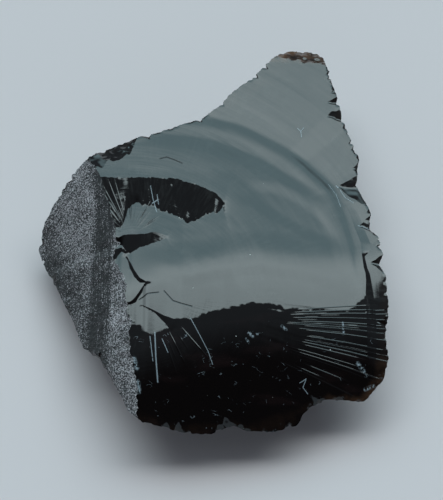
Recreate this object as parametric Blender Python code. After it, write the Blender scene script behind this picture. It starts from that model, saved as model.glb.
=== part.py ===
"""Obsidian chunk: one broken piece of black volcanic glass, lying on its flat underside.

Run with: blender --background --python part.py
Metres, +Z up. X runs across the stone, Y from its blunt front edge to its pointed tip, and the
origin is under the middle of the stone, on the surface it rests on.

The stone is the space between two sheets that meet at one sharp edge all round. The upper sheet
is a broad, glossy shell-shaped face, which rolls over at the front, and a rough sloping face on
the left. The lower sheet is a flat face and a ring of shallow flake scars that rise to the edge.
Lengths inside this script are millimetres in the stone's plan; the mesh is scaled at the end.
"""
import math

import bpy
import numpy as np

# ---- driving dimensions, mm -------------------------------------------------------------------
MM = 0.001
PLAN_ORIGIN = (-1.446, 2.198)   # plan point that becomes the row origin
CELL = 0.95                     # side of a mesh triangle
RIDGE_HEIGHT = 14.4             # height of the ridge between the glossy and the rough face
STRIKE = (-10.8, -8.0)          # where the blow that freed the glossy face landed
FACE_FALL = 0.115               # fall of the glossy face to the right, per mm
BACK_FALL = 0.04                # fall of the glossy face to the tip, per mm
HOLLOW_DEPTH = 0.5              # hollow between the strike point and the shell wave
ROLL_SLOPE = 0.62               # steepest fall of the rolled-over front, less its first break
ROLL_LENGTH = 12.0              # distance over which the front rolls over
ROUGH_FALL = 0.78               # fall of the rough face away from the ridge, per mm
CREASE_FALL = 0.16              # extra fall of the rough face past its crease
FEATHER = 0.3                   # thinnest wedge at the sharp edge, thickness per mm

# Distance of the raised shell wave from the strike point, by its direction in degrees.
SHELL_ANGLE = (0.0, 10.0, 24.0, 32.0, 40.0, 47.0, 54.0, 63.0, 76.0, 95.0)
SHELL_RADIUS = (27.7, 27.8, 28.5, 28.5, 28.2, 28.0, 27.0, 25.9, 23.8, 21.0)
# Front of the glossy face: (x, y) where it starts to roll over.
CREST_X = (-12.0, -7.5, -5.0, -2.0, 3.0, 8.0, 12.0, 16.0, 20.0)
CREST_Y = (-15.0, -12.6, -11.7, -11.0, -9.7, -9.8, -9.9, -9.6, -8.8)
# Ridge between the glossy and the rough face, and the crease of the rough face.
RIDGE_Y = (-24.0, -20.3, -15.0, -3.1, 4.0, 9.7, 14.0)
RIDGE_X = (-10.2, -10.6, -11.3, -12.5, -14.2, -15.8, -16.6)
CREASE_Y = (-20.0, -10.0, 5.0, 12.0)
CREASE_X = (-13.2, -14.6, -18.2, -19.5)

# The two shallow steps of the glossy face: upper and lower line of each, and their depths.
STEP_X = (-15.3, -12.6, -9.0, -7.7, -6.0, -4.5, -3.2, -1.7, -0.5, 0.2)
STEP_UPPER = (7.5, 7.7, 7.9, 7.6, 7.5, 7.2, 6.8, 5.9, 4.8, 3.8)
STEP_LOWER = (0.8, 2.2, 4.6, 4.0, 3.0, 2.7, 2.7, 2.9, 3.2, 3.5)
STEP_DEPTH = 1.1
STRIP_X = (-12.9, -11.2, -9.1, -7.2, -6.0)
STRIP_UPPER = (-0.2, -0.3, 0.1, 0.5, 0.6)
STRIP_LOWER = (-1.2, -2.5, -1.3, -0.2, 0.3)
STRIP_DEPTH = 0.5

# The sharp edge in plan, clockwise from the left corner of the tip.
RIM = (
    (7.7, 28.0), (9.3, 29.0), (11.9, 29.4), (13.7, 28.5), (14.3, 26.7), (14.8, 24.3), (15.5, 21.8),
    (16.5, 17.5), (17.3, 15.0), (18.3, 12.6), (17.8, 9.2), (18.4, 6.9), (19.4, 4.8), (20.3, 1.2),
    (21.0, -2.0), (21.2, -5.9), (21.4, -9.7), (20.8, -12.0), (21.2, -15.0), (20.5, -17.6),
    (18.0, -20.4), (13.6, -20.4), (12.1, -20.8), (10.2, -22.3), (9.6, -23.5), (6.7, -24.3),
    (3.6, -24.4), (0.8, -24.0), (-1.2, -25.0), (-5.2, -24.9), (-9.8, -24.1), (-11.6, -22.5),
    (-14.2, -17.5), (-15.6, -15.1), (-17.7, -13.2), (-19.2, -9.2), (-21.5, -4.2), (-23.3, -0.8),
    (-24.4, 2.2), (-23.4, 4.8), (-21.2, 7.5), (-18.7, 9.7), (-16.5, 11.4), (-13.3, 13.1),
    (-9.1, 14.4), (-4.4, 16.6), (-2.8, 17.2), (-0.5, 19.2), (1.4, 21.6), (3.8, 23.6), (6.5, 26.7))

# Flake scars of the underside: first and last rim point, dip in degrees, hollowing in mm.
SCARS = (
    (0, 3, 34, 0.2), (3, 7, 40, 0.5), (7, 9, 42, 0.4), (9, 12, 41, 0.7), (12, 16, 40, 0.8),
    (16, 19, 38, 0.5), (19, 20, 36, 0.2), (20, 23, 42, 0.7), (23, 26, 42, 0.5), (26, 29, 45, 0.5),
    (29, 31, 46, 0.4), (31, 34, 52, 0.6), (34, 37, 50, 0.5), (37, 39, 42, 0.3), (39, 42, 58, 0.6),
    (42, 45, 60, 0.6), (45, 48, 50, 0.7), (48, 51, 44, 0.5))
# Flake scars of the top edge: the ends of each one's inner line, its dip and its hollowing.
TOP_SCARS = (
    ((7.0, 27.4), (14.6, 26.6), 28, 0.12), ((-16.6, 9.6), (-15.0, 10.5), 30, 0.20),
    ((-15.3, 10.4), (-12.6, 11.7), 22, 0.20), ((-13.0, 11.7), (-10.2, 13.1), 28, 0.15))
# A shelf along the right edge: the line of its wall, the line of its floor, and the floor's depth
# below the glossy face at the front end.
SHELF_WALL = ((17.9, 2.4), (17.6, -8.6), 34)
SHELF_FLOOR = ((17.4, 5.6), (19.7, -8.6), 14)
SHELF_DEPTH = 1.0
# Chips in the top of the edge: x, y, half width and depth.
TOP_CHIPS = (
    (15.6, 20.6, 1.0, 0.5), (15.9, 18.9, 1.3, 0.5), (18.2, 12.8, 1.3, 0.5), (17.6, 9.3, 1.9, 0.6),
    (19.2, 4.9, 1.3, 0.5), (20.6, -2.4, 1.2, 0.4), (-4.0, 17.0, 1.0, 0.3), (2.0, 22.4, 1.2, 0.4),
    (21.2, -12.2, 1.0, 0.4), (0.9, -24.6, 1.1, 0.3))
# Small chips along stretches of the edge: first and last rim point, share on the top side,
# mean gap between them, smallest and largest half width.
CHIPPING = (
    (3, 14, 0.7, 2.2, 0.7, 1.2), (14, 20, 0.4, 2.5, 0.7, 1.3), (20, 31, 0.1, 2.2, 0.7, 1.3),
    (31, 42, 0.2, 3.2, 0.5, 0.9), (42, 51, 0.6, 3.0, 0.6, 1.0))
CHIP_SEED = 7

GLASS_COLOUR = (0.006, 0.006, 0.007, 1.0)
ROUGH_COLOUR = (0.09, 0.09, 0.095, 1.0)
BIG = 1.0e3


# ---- small helpers ----------------------------------------------------------------------------
def smooth(low, high, value):
    """Rise from 0 at low to 1 at high (or fall, when high is the smaller one)."""
    t = np.clip((value - low) / (high - low), 0.0, 1.0)
    return t * t * (3.0 - 2.0 * t)


def ease_in(low, high, value):
    """Height of a slope that grows from 0 before low to 1 after high."""
    t = np.clip((value - low) / (high - low), 0.0, 1.0)
    return (high - low) * (t**3 - t**4 / 2.0) + np.maximum(value - high, 0.0)


def noise(u, v, seed):
    """Smooth random values in -1..1 that change once per unit of u and v."""
    table = np.random.default_rng(seed).random((64, 64)) * 2.0 - 1.0
    i = np.floor(u).astype(int)
    j = np.floor(v).astype(int)
    fu = u - i
    fv = v - j
    fu = fu**3 * (fu * (6.0 * fu - 15.0) + 10.0)
    fv = fv**3 * (fv * (6.0 * fv - 15.0) + 10.0)
    low = table[i % 64, j % 64] * (1.0 - fu) + table[(i + 1) % 64, j % 64] * fu
    high = table[i % 64, (j + 1) % 64] * (1.0 - fu) + table[(i + 1) % 64, (j + 1) % 64] * fu
    return low + (high - low) * fv


# ---- the upper sheet --------------------------------------------------------------------------
def shell_waves(x, y, back):
    """Hollow, raised wave and soft ripples round the strike point, behind the crest."""
    dx = x - STRIKE[0]
    dy = y - STRIKE[1]
    reach = np.hypot(dx, dy)
    angle = np.degrees(np.arctan2(dy, dx))
    radius = np.interp(angle, SHELL_ANGLE, SHELL_RADIUS)
    past = reach - radius
    hollow = -HOLLOW_DEPTH * np.sin(np.pi * np.clip(reach / radius, 0.0, 1.0)) ** 2
    strength = 0.5 + 0.5 * smooth(75.0, 40.0, angle)
    wave = np.exp(-((past / 1.2) ** 2)) - np.exp(-(((past - 2.2) / 1.3) ** 2))
    turn = (angle + 200.0) / 34.0
    ripples = 0.075 * noise(reach / 4.2, turn, 5) * smooth(6.0, 12.0, reach)
    fine = 0.016 * noise(reach / 1.5, turn * 2.4, 6) * smooth(5.0, 9.0, reach)
    return back * (hollow + 0.13 * strength * wave + ripples + fine + 0.06 * ease_in(0.5, 3.5, past))


def step_down(y, upper, lower, depth, power):
    """A shallow step that faces the front, between two lines across the stone."""
    s = np.clip((upper - y) / np.maximum(upper - lower, 0.05), 0.0, 1.0)
    return -depth * (1.0 - (1.0 - s) ** power)


def steps(x, y):
    """Two shallow steps of the glossy face beside the rough face."""
    upper = np.interp(x, STEP_X, STEP_UPPER)
    lower = np.interp(x, STEP_X, STEP_LOWER)
    first = step_down(y, upper, lower, STEP_DEPTH, 1.5) * smooth(4.0, -9.0, x)
    upper = np.interp(x, STRIP_X, STRIP_UPPER)
    lower = np.interp(x, STRIP_X, STRIP_LOWER)
    return first + step_down(y, upper, lower, STRIP_DEPTH, 1.3) * smooth(-5.8, -9.6, x)


def glossy_face(x, y):
    """Height of the broad shell-shaped face."""
    dx = x - STRIKE[0]
    before = np.interp(x, CREST_X, CREST_Y) - y
    z = RIDGE_HEIGHT - FACE_FALL * dx - 0.0008 * dx**2 - BACK_FALL * np.maximum(y + 6.0, 0.0)
    z = z - 0.085 * ease_in(-9.0, -5.0, before) - 0.04 * np.maximum(before, 0.0)
    over = np.maximum(before + 0.3, 0.0)
    z = z - ROLL_SLOPE * (over - ROLL_LENGTH * (1.0 - np.exp(-over / ROLL_LENGTH)))
    return z + shell_waves(x, y, smooth(-1.0, 7.0, -before)) + steps(x, y)


def rough_face(x, y):
    """Height of the rough face on the left; it falls away from the ridge."""
    ridge = np.interp(y, RIDGE_Y, RIDGE_X)
    crease = np.interp(y, CREASE_Y, CREASE_X)
    z = glossy_face(ridge, y) - ROUGH_FALL * (ridge - x)
    z = z - CREASE_FALL * np.maximum(crease - x, 0.0)
    return z + 0.16 * noise(x / 3.0, y / 3.0, 11) + 0.07 * noise(x / 1.3, y / 1.3, 12)


def dipping(x, y, start, end, outward_fall, hollowing):
    """Height of a plane through two points that falls to the left of the line, hollowed along it."""
    ax, ay, az = start
    bx, by, bz = end
    span = math.hypot(bx - ax, by - ay)
    ux = (bx - ax) / span
    uy = (by - ay) / span
    along = ((x - ax) * ux + (y - ay) * uy) / span
    outward = (y - ay) * ux - (x - ax) * uy
    return az + (bz - az) * along - outward_fall * outward - 4.0 * hollowing * along * (1.0 - along)


def on_face(point, depth=0.0):
    """A plan point with its height on the glossy face, or a depth below it."""
    height = glossy_face(np.array([point[0]]), np.array([point[1]]))[0]
    return point[0], point[1], float(height) - depth


def top_scar(x, y, start, end, dip, hollowing):
    """Height of a flake scar that starts at a line on the glossy face and falls to the edge."""
    fall = math.tan(math.radians(dip))
    return dipping(x, y, on_face(start), on_face(end), fall, hollowing)


def shelf(x, y):
    """Height of the shelf along the right edge: a steep wall down to a gently dipping floor."""
    wall_start, wall_end, wall_dip = SHELF_WALL
    start, end, dip = SHELF_FLOOR
    wall = top_scar(x, y, wall_start, wall_end, wall_dip, 0.0)
    fall = math.tan(math.radians(dip))
    floor = dipping(x, y, on_face(start), on_face(end, SHELF_DEPTH), fall, 0.0)
    return np.maximum(wall, floor)


def wobble(x, y):
    """Plan coordinates pushed about a little, so that chips aren't round."""
    return x + 0.3 * noise(x / 0.9, y / 0.9, 21), y + 0.3 * noise(x / 0.9, y / 0.9, 22)


def chip_height(x, y, chip):
    """Height of a ball-shaped bite; out of the way where it doesn't reach."""
    cx, cy, cz, radius, side = chip
    inside = radius**2 - (x - cx) ** 2 - (y - cy) ** 2
    return np.where(inside > 0.0, cz - side * np.sqrt(np.maximum(inside, 0.0)), side * BIG)


def upper_sheet(x, y, chips):
    """Height of the upper sheet and which face it is: 0 glossy, 1 rough, then scars and chips."""
    wx, wy = wobble(x, y)
    surfaces = [rough_face(x, y), shelf(x, y)]
    surfaces += [top_scar(x, y, *values) for values in TOP_SCARS]
    surfaces += [chip_height(wx, wy, chip) for chip in chips if chip[4] > 0]
    z = glossy_face(x, y)
    face = np.zeros(x.shape, int)
    for k, height in enumerate(surfaces):
        face = np.where(height < z, k + 1, face)
        z = np.minimum(z, height)
    return z, face


# ---- the lower sheet --------------------------------------------------------------------------
def rim_point(index):
    """A point of the sharp edge, just under the upper sheet."""
    x, y = RIM[index % len(RIM)]
    z = upper_sheet(np.array([x]), np.array([y]), [])[0][0]
    return x, y, float(z) - 0.1


def scar(x, y, first, last, dip, hollowing):
    """Height of a flake scar of the underside; it rises to the edge between two rim points."""
    fall = math.tan(math.radians(dip))
    z = dipping(x, y, rim_point(first), rim_point(last), -fall, -hollowing)
    return z - 0.006 * inward_square(x, y, RIM[first % len(RIM)], RIM[last % len(RIM)])


def inward_square(x, y, start, end):
    """Square of the distance right of a line, negative on its left."""
    span = math.hypot(end[0] - start[0], end[1] - start[1])
    inward = (x - start[0]) * (end[1] - start[1]) - (y - start[1]) * (end[0] - start[0])
    return inward * np.abs(inward) / span**2


def rim_distance(x, y):
    """Distance to the sharp edge in plan, positive inside the stone."""
    nearest = np.full(x.shape, BIG)
    inside = np.zeros(x.shape, bool)
    for (ax, ay), (bx, by) in zip(RIM, RIM[1:] + RIM[:1]):
        ex = bx - ax
        ey = by - ay
        along = np.clip(((x - ax) * ex + (y - ay) * ey) / (ex * ex + ey * ey), 0.0, 1.0)
        nearest = np.minimum(nearest, np.hypot(x - ax - along * ex, y - ay - along * ey))
        if ey != 0.0:
            inside ^= ((ay > y) != (by > y)) & (x < ex * (y - ay) / ey + ax)
    return np.where(inside, nearest, -nearest)


def lower_sheet(x, y, chips, inward):
    """Height of the lower sheet and which face it is: 0 flat, then the scars and the chips."""
    z = np.zeros(x.shape)
    face = np.zeros(x.shape, int)
    wx, wy = wobble(x, y)
    surfaces = [scar(x, y, *values) for values in SCARS]
    surfaces += [chip_height(wx, wy, chip) for chip in chips if chip[4] < 0]
    for k, height in enumerate(surfaces):
        face = np.where(height > z, k + 1, face)
        z = np.maximum(z, height)
    thinnest = upper_sheet(x, y, [])[0] - FEATHER * np.maximum(inward, 0.0)
    return np.minimum(z, thinnest), face


# ---- chips ------------------------------------------------------------------------------------
def make_chip(x, y, half, depth, side):
    """A bite of a given half width and depth in the upper (1) or lower (-1) side of the edge."""
    radius = (half**2 + depth**2) / (2.0 * depth)
    z = upper_sheet(np.array([x]), np.array([y]), [])[0][0]
    return x, y, float(z) + side * (radius - depth), radius, side


def edge_chips():
    """The placed chips, and small ones scattered along the edge on either side of it."""
    chips = [make_chip(x, y, half, depth, 1) for x, y, half, depth in TOP_CHIPS]
    rng = np.random.default_rng(CHIP_SEED)
    for first, last, top_share, gap, smallest, largest in CHIPPING:
        for index in range(first, last):
            ax, ay = RIM[index % len(RIM)]
            bx, by = RIM[(index + 1) % len(RIM)]
            for _ in range(rng.poisson(math.hypot(bx - ax, by - ay) / gap)):
                along = rng.random()
                half = smallest + (largest - smallest) * rng.random() ** 2
                side = 1 if rng.random() < top_share else -1
                x = ax + (bx - ax) * along
                y = ay + (by - ay) * along
                chips.append(make_chip(x, y, half, 0.35 * half, side))
    return chips


def survey(x, y, chips):
    """Heights of both sheets, and one whole number per point that names its pair of faces."""
    inward = rim_distance(x, y)
    top, top_face = upper_sheet(x, y, chips)
    low, low_face = lower_sheet(x, y, chips, inward)
    outside = (inward <= 0.0) | (top <= low)
    return top, low, np.where(outside, -1, top_face * 1000 + low_face)


# ---- meshing ----------------------------------------------------------------------------------
def lattice(cell, box):
    """Points and triangles of a triangular lattice over a plan box."""
    x0, x1, y0, y1 = box
    row = cell * math.sqrt(0.75)
    columns = int((x1 - x0) / cell) + 2
    rows = int((y1 - y0) / row) + 2
    j, i = np.meshgrid(np.arange(rows), np.arange(columns), indexing="ij")
    x = (x0 + (i + 0.5 * (j % 2)) * cell).ravel()
    y = (y0 + j * row).ravel()
    index = j * columns + i
    a, b = index[:-1, :-1], index[:-1, 1:]
    c, d = index[1:, :-1], index[1:, 1:]
    even = j[:-1, :-1] % 2 == 0
    parts = (
        np.stack([a, b, c], -1)[even], np.stack([b, d, c], -1)[even],
        np.stack([a, b, d], -1)[~even], np.stack([a, d, c], -1)[~even])
    return x, y, np.concatenate(parts)


def edges_of(triangles):
    """Every triangle's three edges, each with its lower index first."""
    pairs = [triangles[:, [0, 1]], triangles[:, [1, 2]], triangles[:, [2, 0]]]
    return np.sort(np.concatenate(pairs), axis=1)


def fit_lattice(cell, box, chips):
    """Move the lattice points nearest to a ridge or to the edge onto it, and drop the outside."""
    x, y, triangles = lattice(cell, box)
    names = survey(x, y, chips)[2]
    edges = np.unique(edges_of(triangles), axis=0)
    edges = edges[names[edges[:, 0]] != names[edges[:, 1]]]
    start, end = edges[:, 0], edges[:, 1]
    at_rim = (names[start] == -1) | (names[end] == -1)
    low = np.zeros(len(edges))
    high = np.ones(len(edges))
    for _ in range(12):
        middle = (low + high) / 2.0
        here = survey(x[start] + (x[end] - x[start]) * middle,
                      y[start] + (y[end] - y[start]) * middle, chips)[2]
        same = np.where(at_rim, (here == -1) == (names[start] == -1), here == names[start])
        low = np.where(same, middle, low)
        high = np.where(same, high, middle)
    share = (low + high) / 2.0
    near = np.where(share < 0.5, start, end)
    order = np.argsort(-(np.minimum(share, 1.0 - share) + np.where(at_rim, 0.0, 10.0)))
    choice = np.full(len(x), -1)
    choice[near[order]] = order
    moved = choice >= 0
    pick = choice[moved]
    new_x, new_y = x.copy(), y.copy()
    new_x[moved] = (x[start] + (x[end] - x[start]) * share)[pick]
    new_y[moved] = (y[start] + (y[end] - y[start]) * share)[pick]
    centre = survey(new_x[triangles].mean(1), new_y[triangles].mean(1), chips)[2]
    inside = centre != -1
    return new_x, new_y, triangles[inside], centre[inside]


def open_edges(triangles, count):
    """Edges used once, how many of them meet at each point, and each triangle edge's use."""
    edges, where, uses = np.unique(
        edges_of(triangles), axis=0, return_inverse=True, return_counts=True)
    meeting = np.bincount(edges[uses == 1].ravel(), minlength=count)
    return edges, where.ravel(), uses, meeting


def drop_ears(x, triangles, names):
    """Drop triangles that lie wholly on the outline, and points where the outline touches itself."""
    while True:
        _, where, uses, meeting = open_edges(triangles, len(x))
        on_rim = meeting > 0
        free = (uses[where].reshape(3, -1).T == 1).sum(1)
        bad = (on_rim[triangles].sum(1) == 3) & (free >= 2)
        bad |= (meeting[triangles] > 2).any(1)
        if not bad.any():
            return triangles, names
        triangles, names = triangles[~bad], names[~bad]


def split_chords(x, y, triangles, names):
    """Give an inner edge that runs from outline to outline a point in its middle."""
    edges, where, uses, meeting = open_edges(triangles, len(x))
    on_rim = meeting > 0
    chord = (uses == 2) & on_rim[edges[:, 0]] & on_rim[edges[:, 1]]
    sharing = {}
    for triangle, edge in zip(np.tile(np.arange(len(triangles)), 3), where):
        if chord[edge]:
            sharing.setdefault(edge, []).append(triangle)
    taken, added, added_names = set(), [], []
    for edge, owners in sharing.items():
        if taken.intersection(owners):
            continue
        taken.update(owners)
        a, b = edges[edge]
        middle = len(x)
        x = np.append(x, (x[a] + x[b]) / 2.0)
        y = np.append(y, (y[a] + y[b]) / 2.0)
        for owner in owners:
            turn = [k for k in range(3) if {triangles[owner][k], triangles[owner][k - 2]} == {a, b}]
            p, q, r = np.roll(triangles[owner], -turn[0])
            added += [(p, middle, r), (middle, q, r)]
            added_names += [names[owner]] * 2
    if not taken:
        return x, y, triangles, names, False
    rest = np.ones(len(triangles), bool)
    rest[list(taken)] = False
    triangles = np.concatenate([triangles[rest], np.array(added)])
    return x, y, triangles, np.concatenate([names[rest], np.array(added_names)]), True


def largest_piece(count, triangles, names):
    """Keep the largest connected piece."""
    group = np.arange(count)
    links = edges_of(triangles)
    while True:
        low = np.minimum(group[links[:, 0]], group[links[:, 1]])
        new = group.copy()
        np.minimum.at(new, links[:, 0], low)
        np.minimum.at(new, links[:, 1], low)
        new = new[new]
        if (new == group).all():
            break
        group = new
    keep = group[triangles[:, 0]] == np.bincount(group[triangles[:, 0]]).argmax()
    return triangles[keep], names[keep]


def plan_mesh(cell, chips):
    """The stone's plan as triangles, with the face names of each."""
    xs = [point[0] for point in RIM]
    ys = [point[1] for point in RIM]
    box = (min(xs) - 2 * cell, max(xs) + 2 * cell, min(ys) - 2 * cell, max(ys) + 2 * cell)
    x, y, triangles, names = fit_lattice(cell, box, chips)
    changed = True
    while changed:
        triangles, names = drop_ears(x, triangles, names)
        x, y, triangles, names, changed = split_chords(x, y, triangles, names)
    triangles, names = largest_piece(len(x), triangles, names)
    used = np.unique(triangles)
    renumber = np.full(len(x), -1)
    renumber[used] = np.arange(len(used))
    return x[used], y[used], renumber[triangles], names


def solid(cell, chips):
    """Vertices in metres, triangles and the face name of each, upper sheet first."""
    x, y, triangles, names = plan_mesh(cell, chips)
    top, low, _ = survey(x, y, chips)
    on_rim = open_edges(triangles, len(x))[3] > 0
    inner = np.nonzero(~on_rim)[0]
    below = np.arange(len(x))
    below[inner] = len(x) + np.arange(len(inner))
    top = np.where(on_rim, (top + np.minimum(low, top)) / 2.0, top)
    plan = np.concatenate([np.stack([x, y], 1), np.stack([x[inner], y[inner]], 1)])
    height = np.concatenate([top, low[inner]])
    points = np.column_stack([plan - np.array(PLAN_ORIGIN), height]) * MM
    faces = np.concatenate([triangles, below[triangles][:, ::-1]])
    return points, faces, np.concatenate([names // 1000, 1000 + names % 1000])


def sharp_edges(mesh, triangles, names):
    """Mark the edges where two faces of the stone meet."""
    edges = edges_of(triangles)
    owner = np.tile(names, 3)
    order = np.lexsort((edges[:, 1], edges[:, 0]))
    edges, owner = edges[order], owner[order]
    meets = (edges[1:] == edges[:-1]).all(1) & (owner[1:] != owner[:-1])
    sharp = {tuple(pair) for pair in edges[1:][meets].tolist()}
    for edge in mesh.edges:
        edge.use_edge_sharp = tuple(sorted(edge.vertices)) in sharp


# ---- materials and the object -----------------------------------------------------------------
def principled(name, colour, roughness):
    """A plain material with a colour and a roughness."""
    material = bpy.data.materials.new(name)
    material.use_nodes = True
    shader = material.node_tree.nodes["Principled BSDF"]
    shader.inputs["Base Color"].default_value = colour
    shader.inputs["Roughness"].default_value = roughness
    shader.inputs["Metallic"].default_value = 0.0
    shader.inputs["IOR"].default_value = 1.5
    material.diffuse_color = colour
    return material


def clear_scene():
    """Remove the objects the scene starts with."""
    for old in list(bpy.data.objects):
        bpy.data.objects.remove(old, do_unlink=True)


def build_stone():
    """The whole stone as one closed mesh object."""
    points, triangles, names = solid(CELL, edge_chips())
    mesh = bpy.data.meshes.new("obsidian_chunk")
    mesh.from_pydata(points.tolist(), [], triangles.tolist())
    mesh.materials.append(principled("obsidian_glass", GLASS_COLOUR, 0.06))
    mesh.materials.append(principled("obsidian_rough", ROUGH_COLOUR, 0.55))
    mesh.polygons.foreach_set("use_smooth", np.ones(len(triangles), bool))
    mesh.polygons.foreach_set("material_index", (names == 1).astype(np.int32))
    sharp_edges(mesh, triangles, names)
    mesh.update()
    stone = bpy.data.objects.new("obsidian_chunk", mesh)
    bpy.context.scene.collection.objects.link(stone)
    return stone


def main():
    """Build the stone in an empty scene."""
    clear_scene()
    build_stone()


main()
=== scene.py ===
"""Dress the obsidian chunk: a fine mesh of the stone, its finishes, the studio and the camera.

The stone is the space between an upper and a lower sheet that meet at one sharp edge. The shape
classes give each sheet's height over the stone's plan in millimetres, the mesher fits a fine
lattice to every ridge and to the edge, and the finishes add what is finer than a mesh triangle.
Plan x runs across the stone and plan y along it, both in millimetres.
"""

import logging
import math
from collections.abc import Callable
from dataclasses import dataclass, field
from enum import Enum
from functools import lru_cache

import bpy
import numpy as np
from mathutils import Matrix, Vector


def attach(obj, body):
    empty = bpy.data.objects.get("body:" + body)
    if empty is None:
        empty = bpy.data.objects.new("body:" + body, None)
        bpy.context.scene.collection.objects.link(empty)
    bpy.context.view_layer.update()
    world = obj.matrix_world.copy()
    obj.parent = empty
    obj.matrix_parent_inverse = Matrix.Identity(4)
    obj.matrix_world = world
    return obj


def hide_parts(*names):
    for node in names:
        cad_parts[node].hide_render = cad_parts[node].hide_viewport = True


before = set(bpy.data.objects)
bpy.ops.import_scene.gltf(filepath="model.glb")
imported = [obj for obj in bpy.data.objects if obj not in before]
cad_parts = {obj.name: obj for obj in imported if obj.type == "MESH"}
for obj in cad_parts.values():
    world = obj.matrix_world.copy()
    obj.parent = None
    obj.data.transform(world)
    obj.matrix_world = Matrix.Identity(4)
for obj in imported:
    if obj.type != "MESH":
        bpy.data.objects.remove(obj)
LOG = logging.getLogger("obsidian")
MM = 0.001  # a millimetre in metres
FAR = 1.0e3  # out of the way, in millimetres
CHIP_REACH = 3.8  # how far in from the edge a chip can lie
PLAN_ORIGIN = (-1.446, 2.198)  # the plan point over the frame's origin
STRIKE = (-10.8, -8.0)  # the plan point that the shell waves run round
NOISE_CELLS = 64
OUTSIDE = -1  # label of a plan point outside the stone
FACE_STEP = 1000  # a label is this times the upper face's number, plus the lower one's
FIRST_TREAD = 901
LEAST_RISE = 1e-9  # keeps an upright plane's slopes finite
Array = np.ndarray


# ---- number helpers -----------------------------------------------------------------------------
def smooth(low: float, high: float, value: Array) -> Array:
    """Rise from 0 at low to 1 at high, or fall when high is the smaller one.

    Args:
        low: Where the result is 0.
        high: Where the result is 1.
        value: Values to ease.

    Returns:
        The eased values, 0 to 1.
    """
    t = np.clip((value - low) / (high - low), 0.0, 1.0)
    return t * t * (3.0 - 2.0 * t)


def ease_in(low: float, high: float, value: Array) -> Array:
    """Height of a slope that grows from 0 before low to 1 after high.

    Args:
        low: Where the slope starts.
        high: Where the slope is 1.
        value: Distances along the slope.

    Returns:
        The heights.
    """
    t = np.clip((value - low) / (high - low), 0.0, 1.0)
    return (high - low) * (t**3 - t**4 / 2.0) + np.maximum(value - high, 0.0)


@lru_cache(maxsize=None)
def noise_table(seed: int) -> Array:
    """A square table of random values from -1 to 1."""
    return np.random.default_rng(seed).random((NOISE_CELLS, NOISE_CELLS)) * 2.0 - 1.0


def noise(u: Array, v: Array, seed: int) -> Array:
    """Smooth random values that change once per unit of u and v.

    Args:
        u: First coordinate.
        v: Second coordinate.
        seed: Which table of random values to use.

    Returns:
        Values from -1 to 1.
    """
    table = noise_table(seed)
    i, j = np.floor(u).astype(int), np.floor(v).astype(int)
    fu, fv = (part**3 * (part * (6.0 * part - 15.0) + 10.0) for part in (u - i, v - j))
    i0, i1 = i % NOISE_CELLS, (i + 1) % NOISE_CELLS
    low, high = (table[i0, row] * (1.0 - fu) + table[i1, row] * fu
                 for row in (j % NOISE_CELLS, (j + 1) % NOISE_CELLS))
    return low + (high - low) * fv


def layers(base: Array | float, x: Array, y: Array, *parts: tuple) -> Array:
    """Add layers of noise to a base.

    Args:
        base: What they are added to.
        x: Plan x.
        y: Plan y.
        parts: Strength, size across, size along and table of each layer.

    Returns:
        The sum.
    """
    for strength, across, along, seed in parts:
        base = base + strength * noise(x / across, y / along, seed)
    return base


def warp(x: Array, y: Array, *parts: tuple) -> tuple:
    """Shift plan points by noise, so that straight borders come out ragged.

    Args:
        x: Plan x.
        y: Plan y.
        parts: Strength, size and table of each layer; y takes the next table.

    Returns:
        The shifted x and y.
    """
    return tuple(
        layers(value, x, y, *((strength, size, size, seed + place) for strength, size, seed in parts))
        for place, value in enumerate((x, y)))


def round_strike(x: Array, y: Array) -> tuple:
    """Distance from the strike point, and direction from it in degrees."""
    dx, dy = x - STRIKE[0], y - STRIKE[1]
    return np.hypot(dx, dy), np.degrees(np.arctan2(dy, dx))


def at(function: Callable, x: float, y: float) -> float:
    """Value of an array function at a single plan point."""
    return float(function(np.array([x]), np.array([y]))[0])


# ---- the stone's faces --------------------------------------------------------------------------
@dataclass(frozen=True)
class Tread:
    """A patch of the glossy face that leans towards the front, between two lines across it."""

    ragged: float
    upper_x: tuple
    upper_y: tuple
    lower_x: tuple
    lower_y: tuple
    depth_x: tuple
    depth: tuple
    full_width: float = 0.8
    upper_share: float = 0.35
    least_width: float = 0.02

    def lines(self, x: Array, y: Array) -> tuple:
        """The patch's upper and lower line.

        Args:
            x: Plan x.
            y: Plan y.

        Returns:
            y of the upper and of the lower line.
        """
        upper = np.interp(x, self.upper_x, self.upper_y)
        lower = np.interp(x, self.lower_x, self.lower_y)
        room = np.clip((upper - lower) / self.full_width, 0.0, 1.0)
        tooth = self.ragged * room * layers(0.0, x, y, (1.0, 0.2, 2.0, 44), (0.8, 0.6, 3.0, 45))
        return upper + self.upper_share * tooth, np.minimum(lower + tooth, upper - self.least_width)

    def drop(self, x: Array, y: Array) -> Array:
        """How far the face has dropped past the upper line.

        Args:
            x: Plan x.
            y: Plan y.

        Returns:
            Depths in millimetres.
        """
        upper, lower = self.lines(x, y)
        depth = np.interp(x, self.depth_x, self.depth, 0.0, 0.0)
        return depth * np.clip((upper - y) / (upper - lower), 0.0, 1.0)

    def covers(self, x: Array, y: Array) -> Array:
        """Whether each point is in the patch."""
        upper, lower = self.lines(x, y)
        return (y < upper) & (y > lower) & (x > self.upper_x[0]) & (x < self.upper_x[-1])


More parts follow.
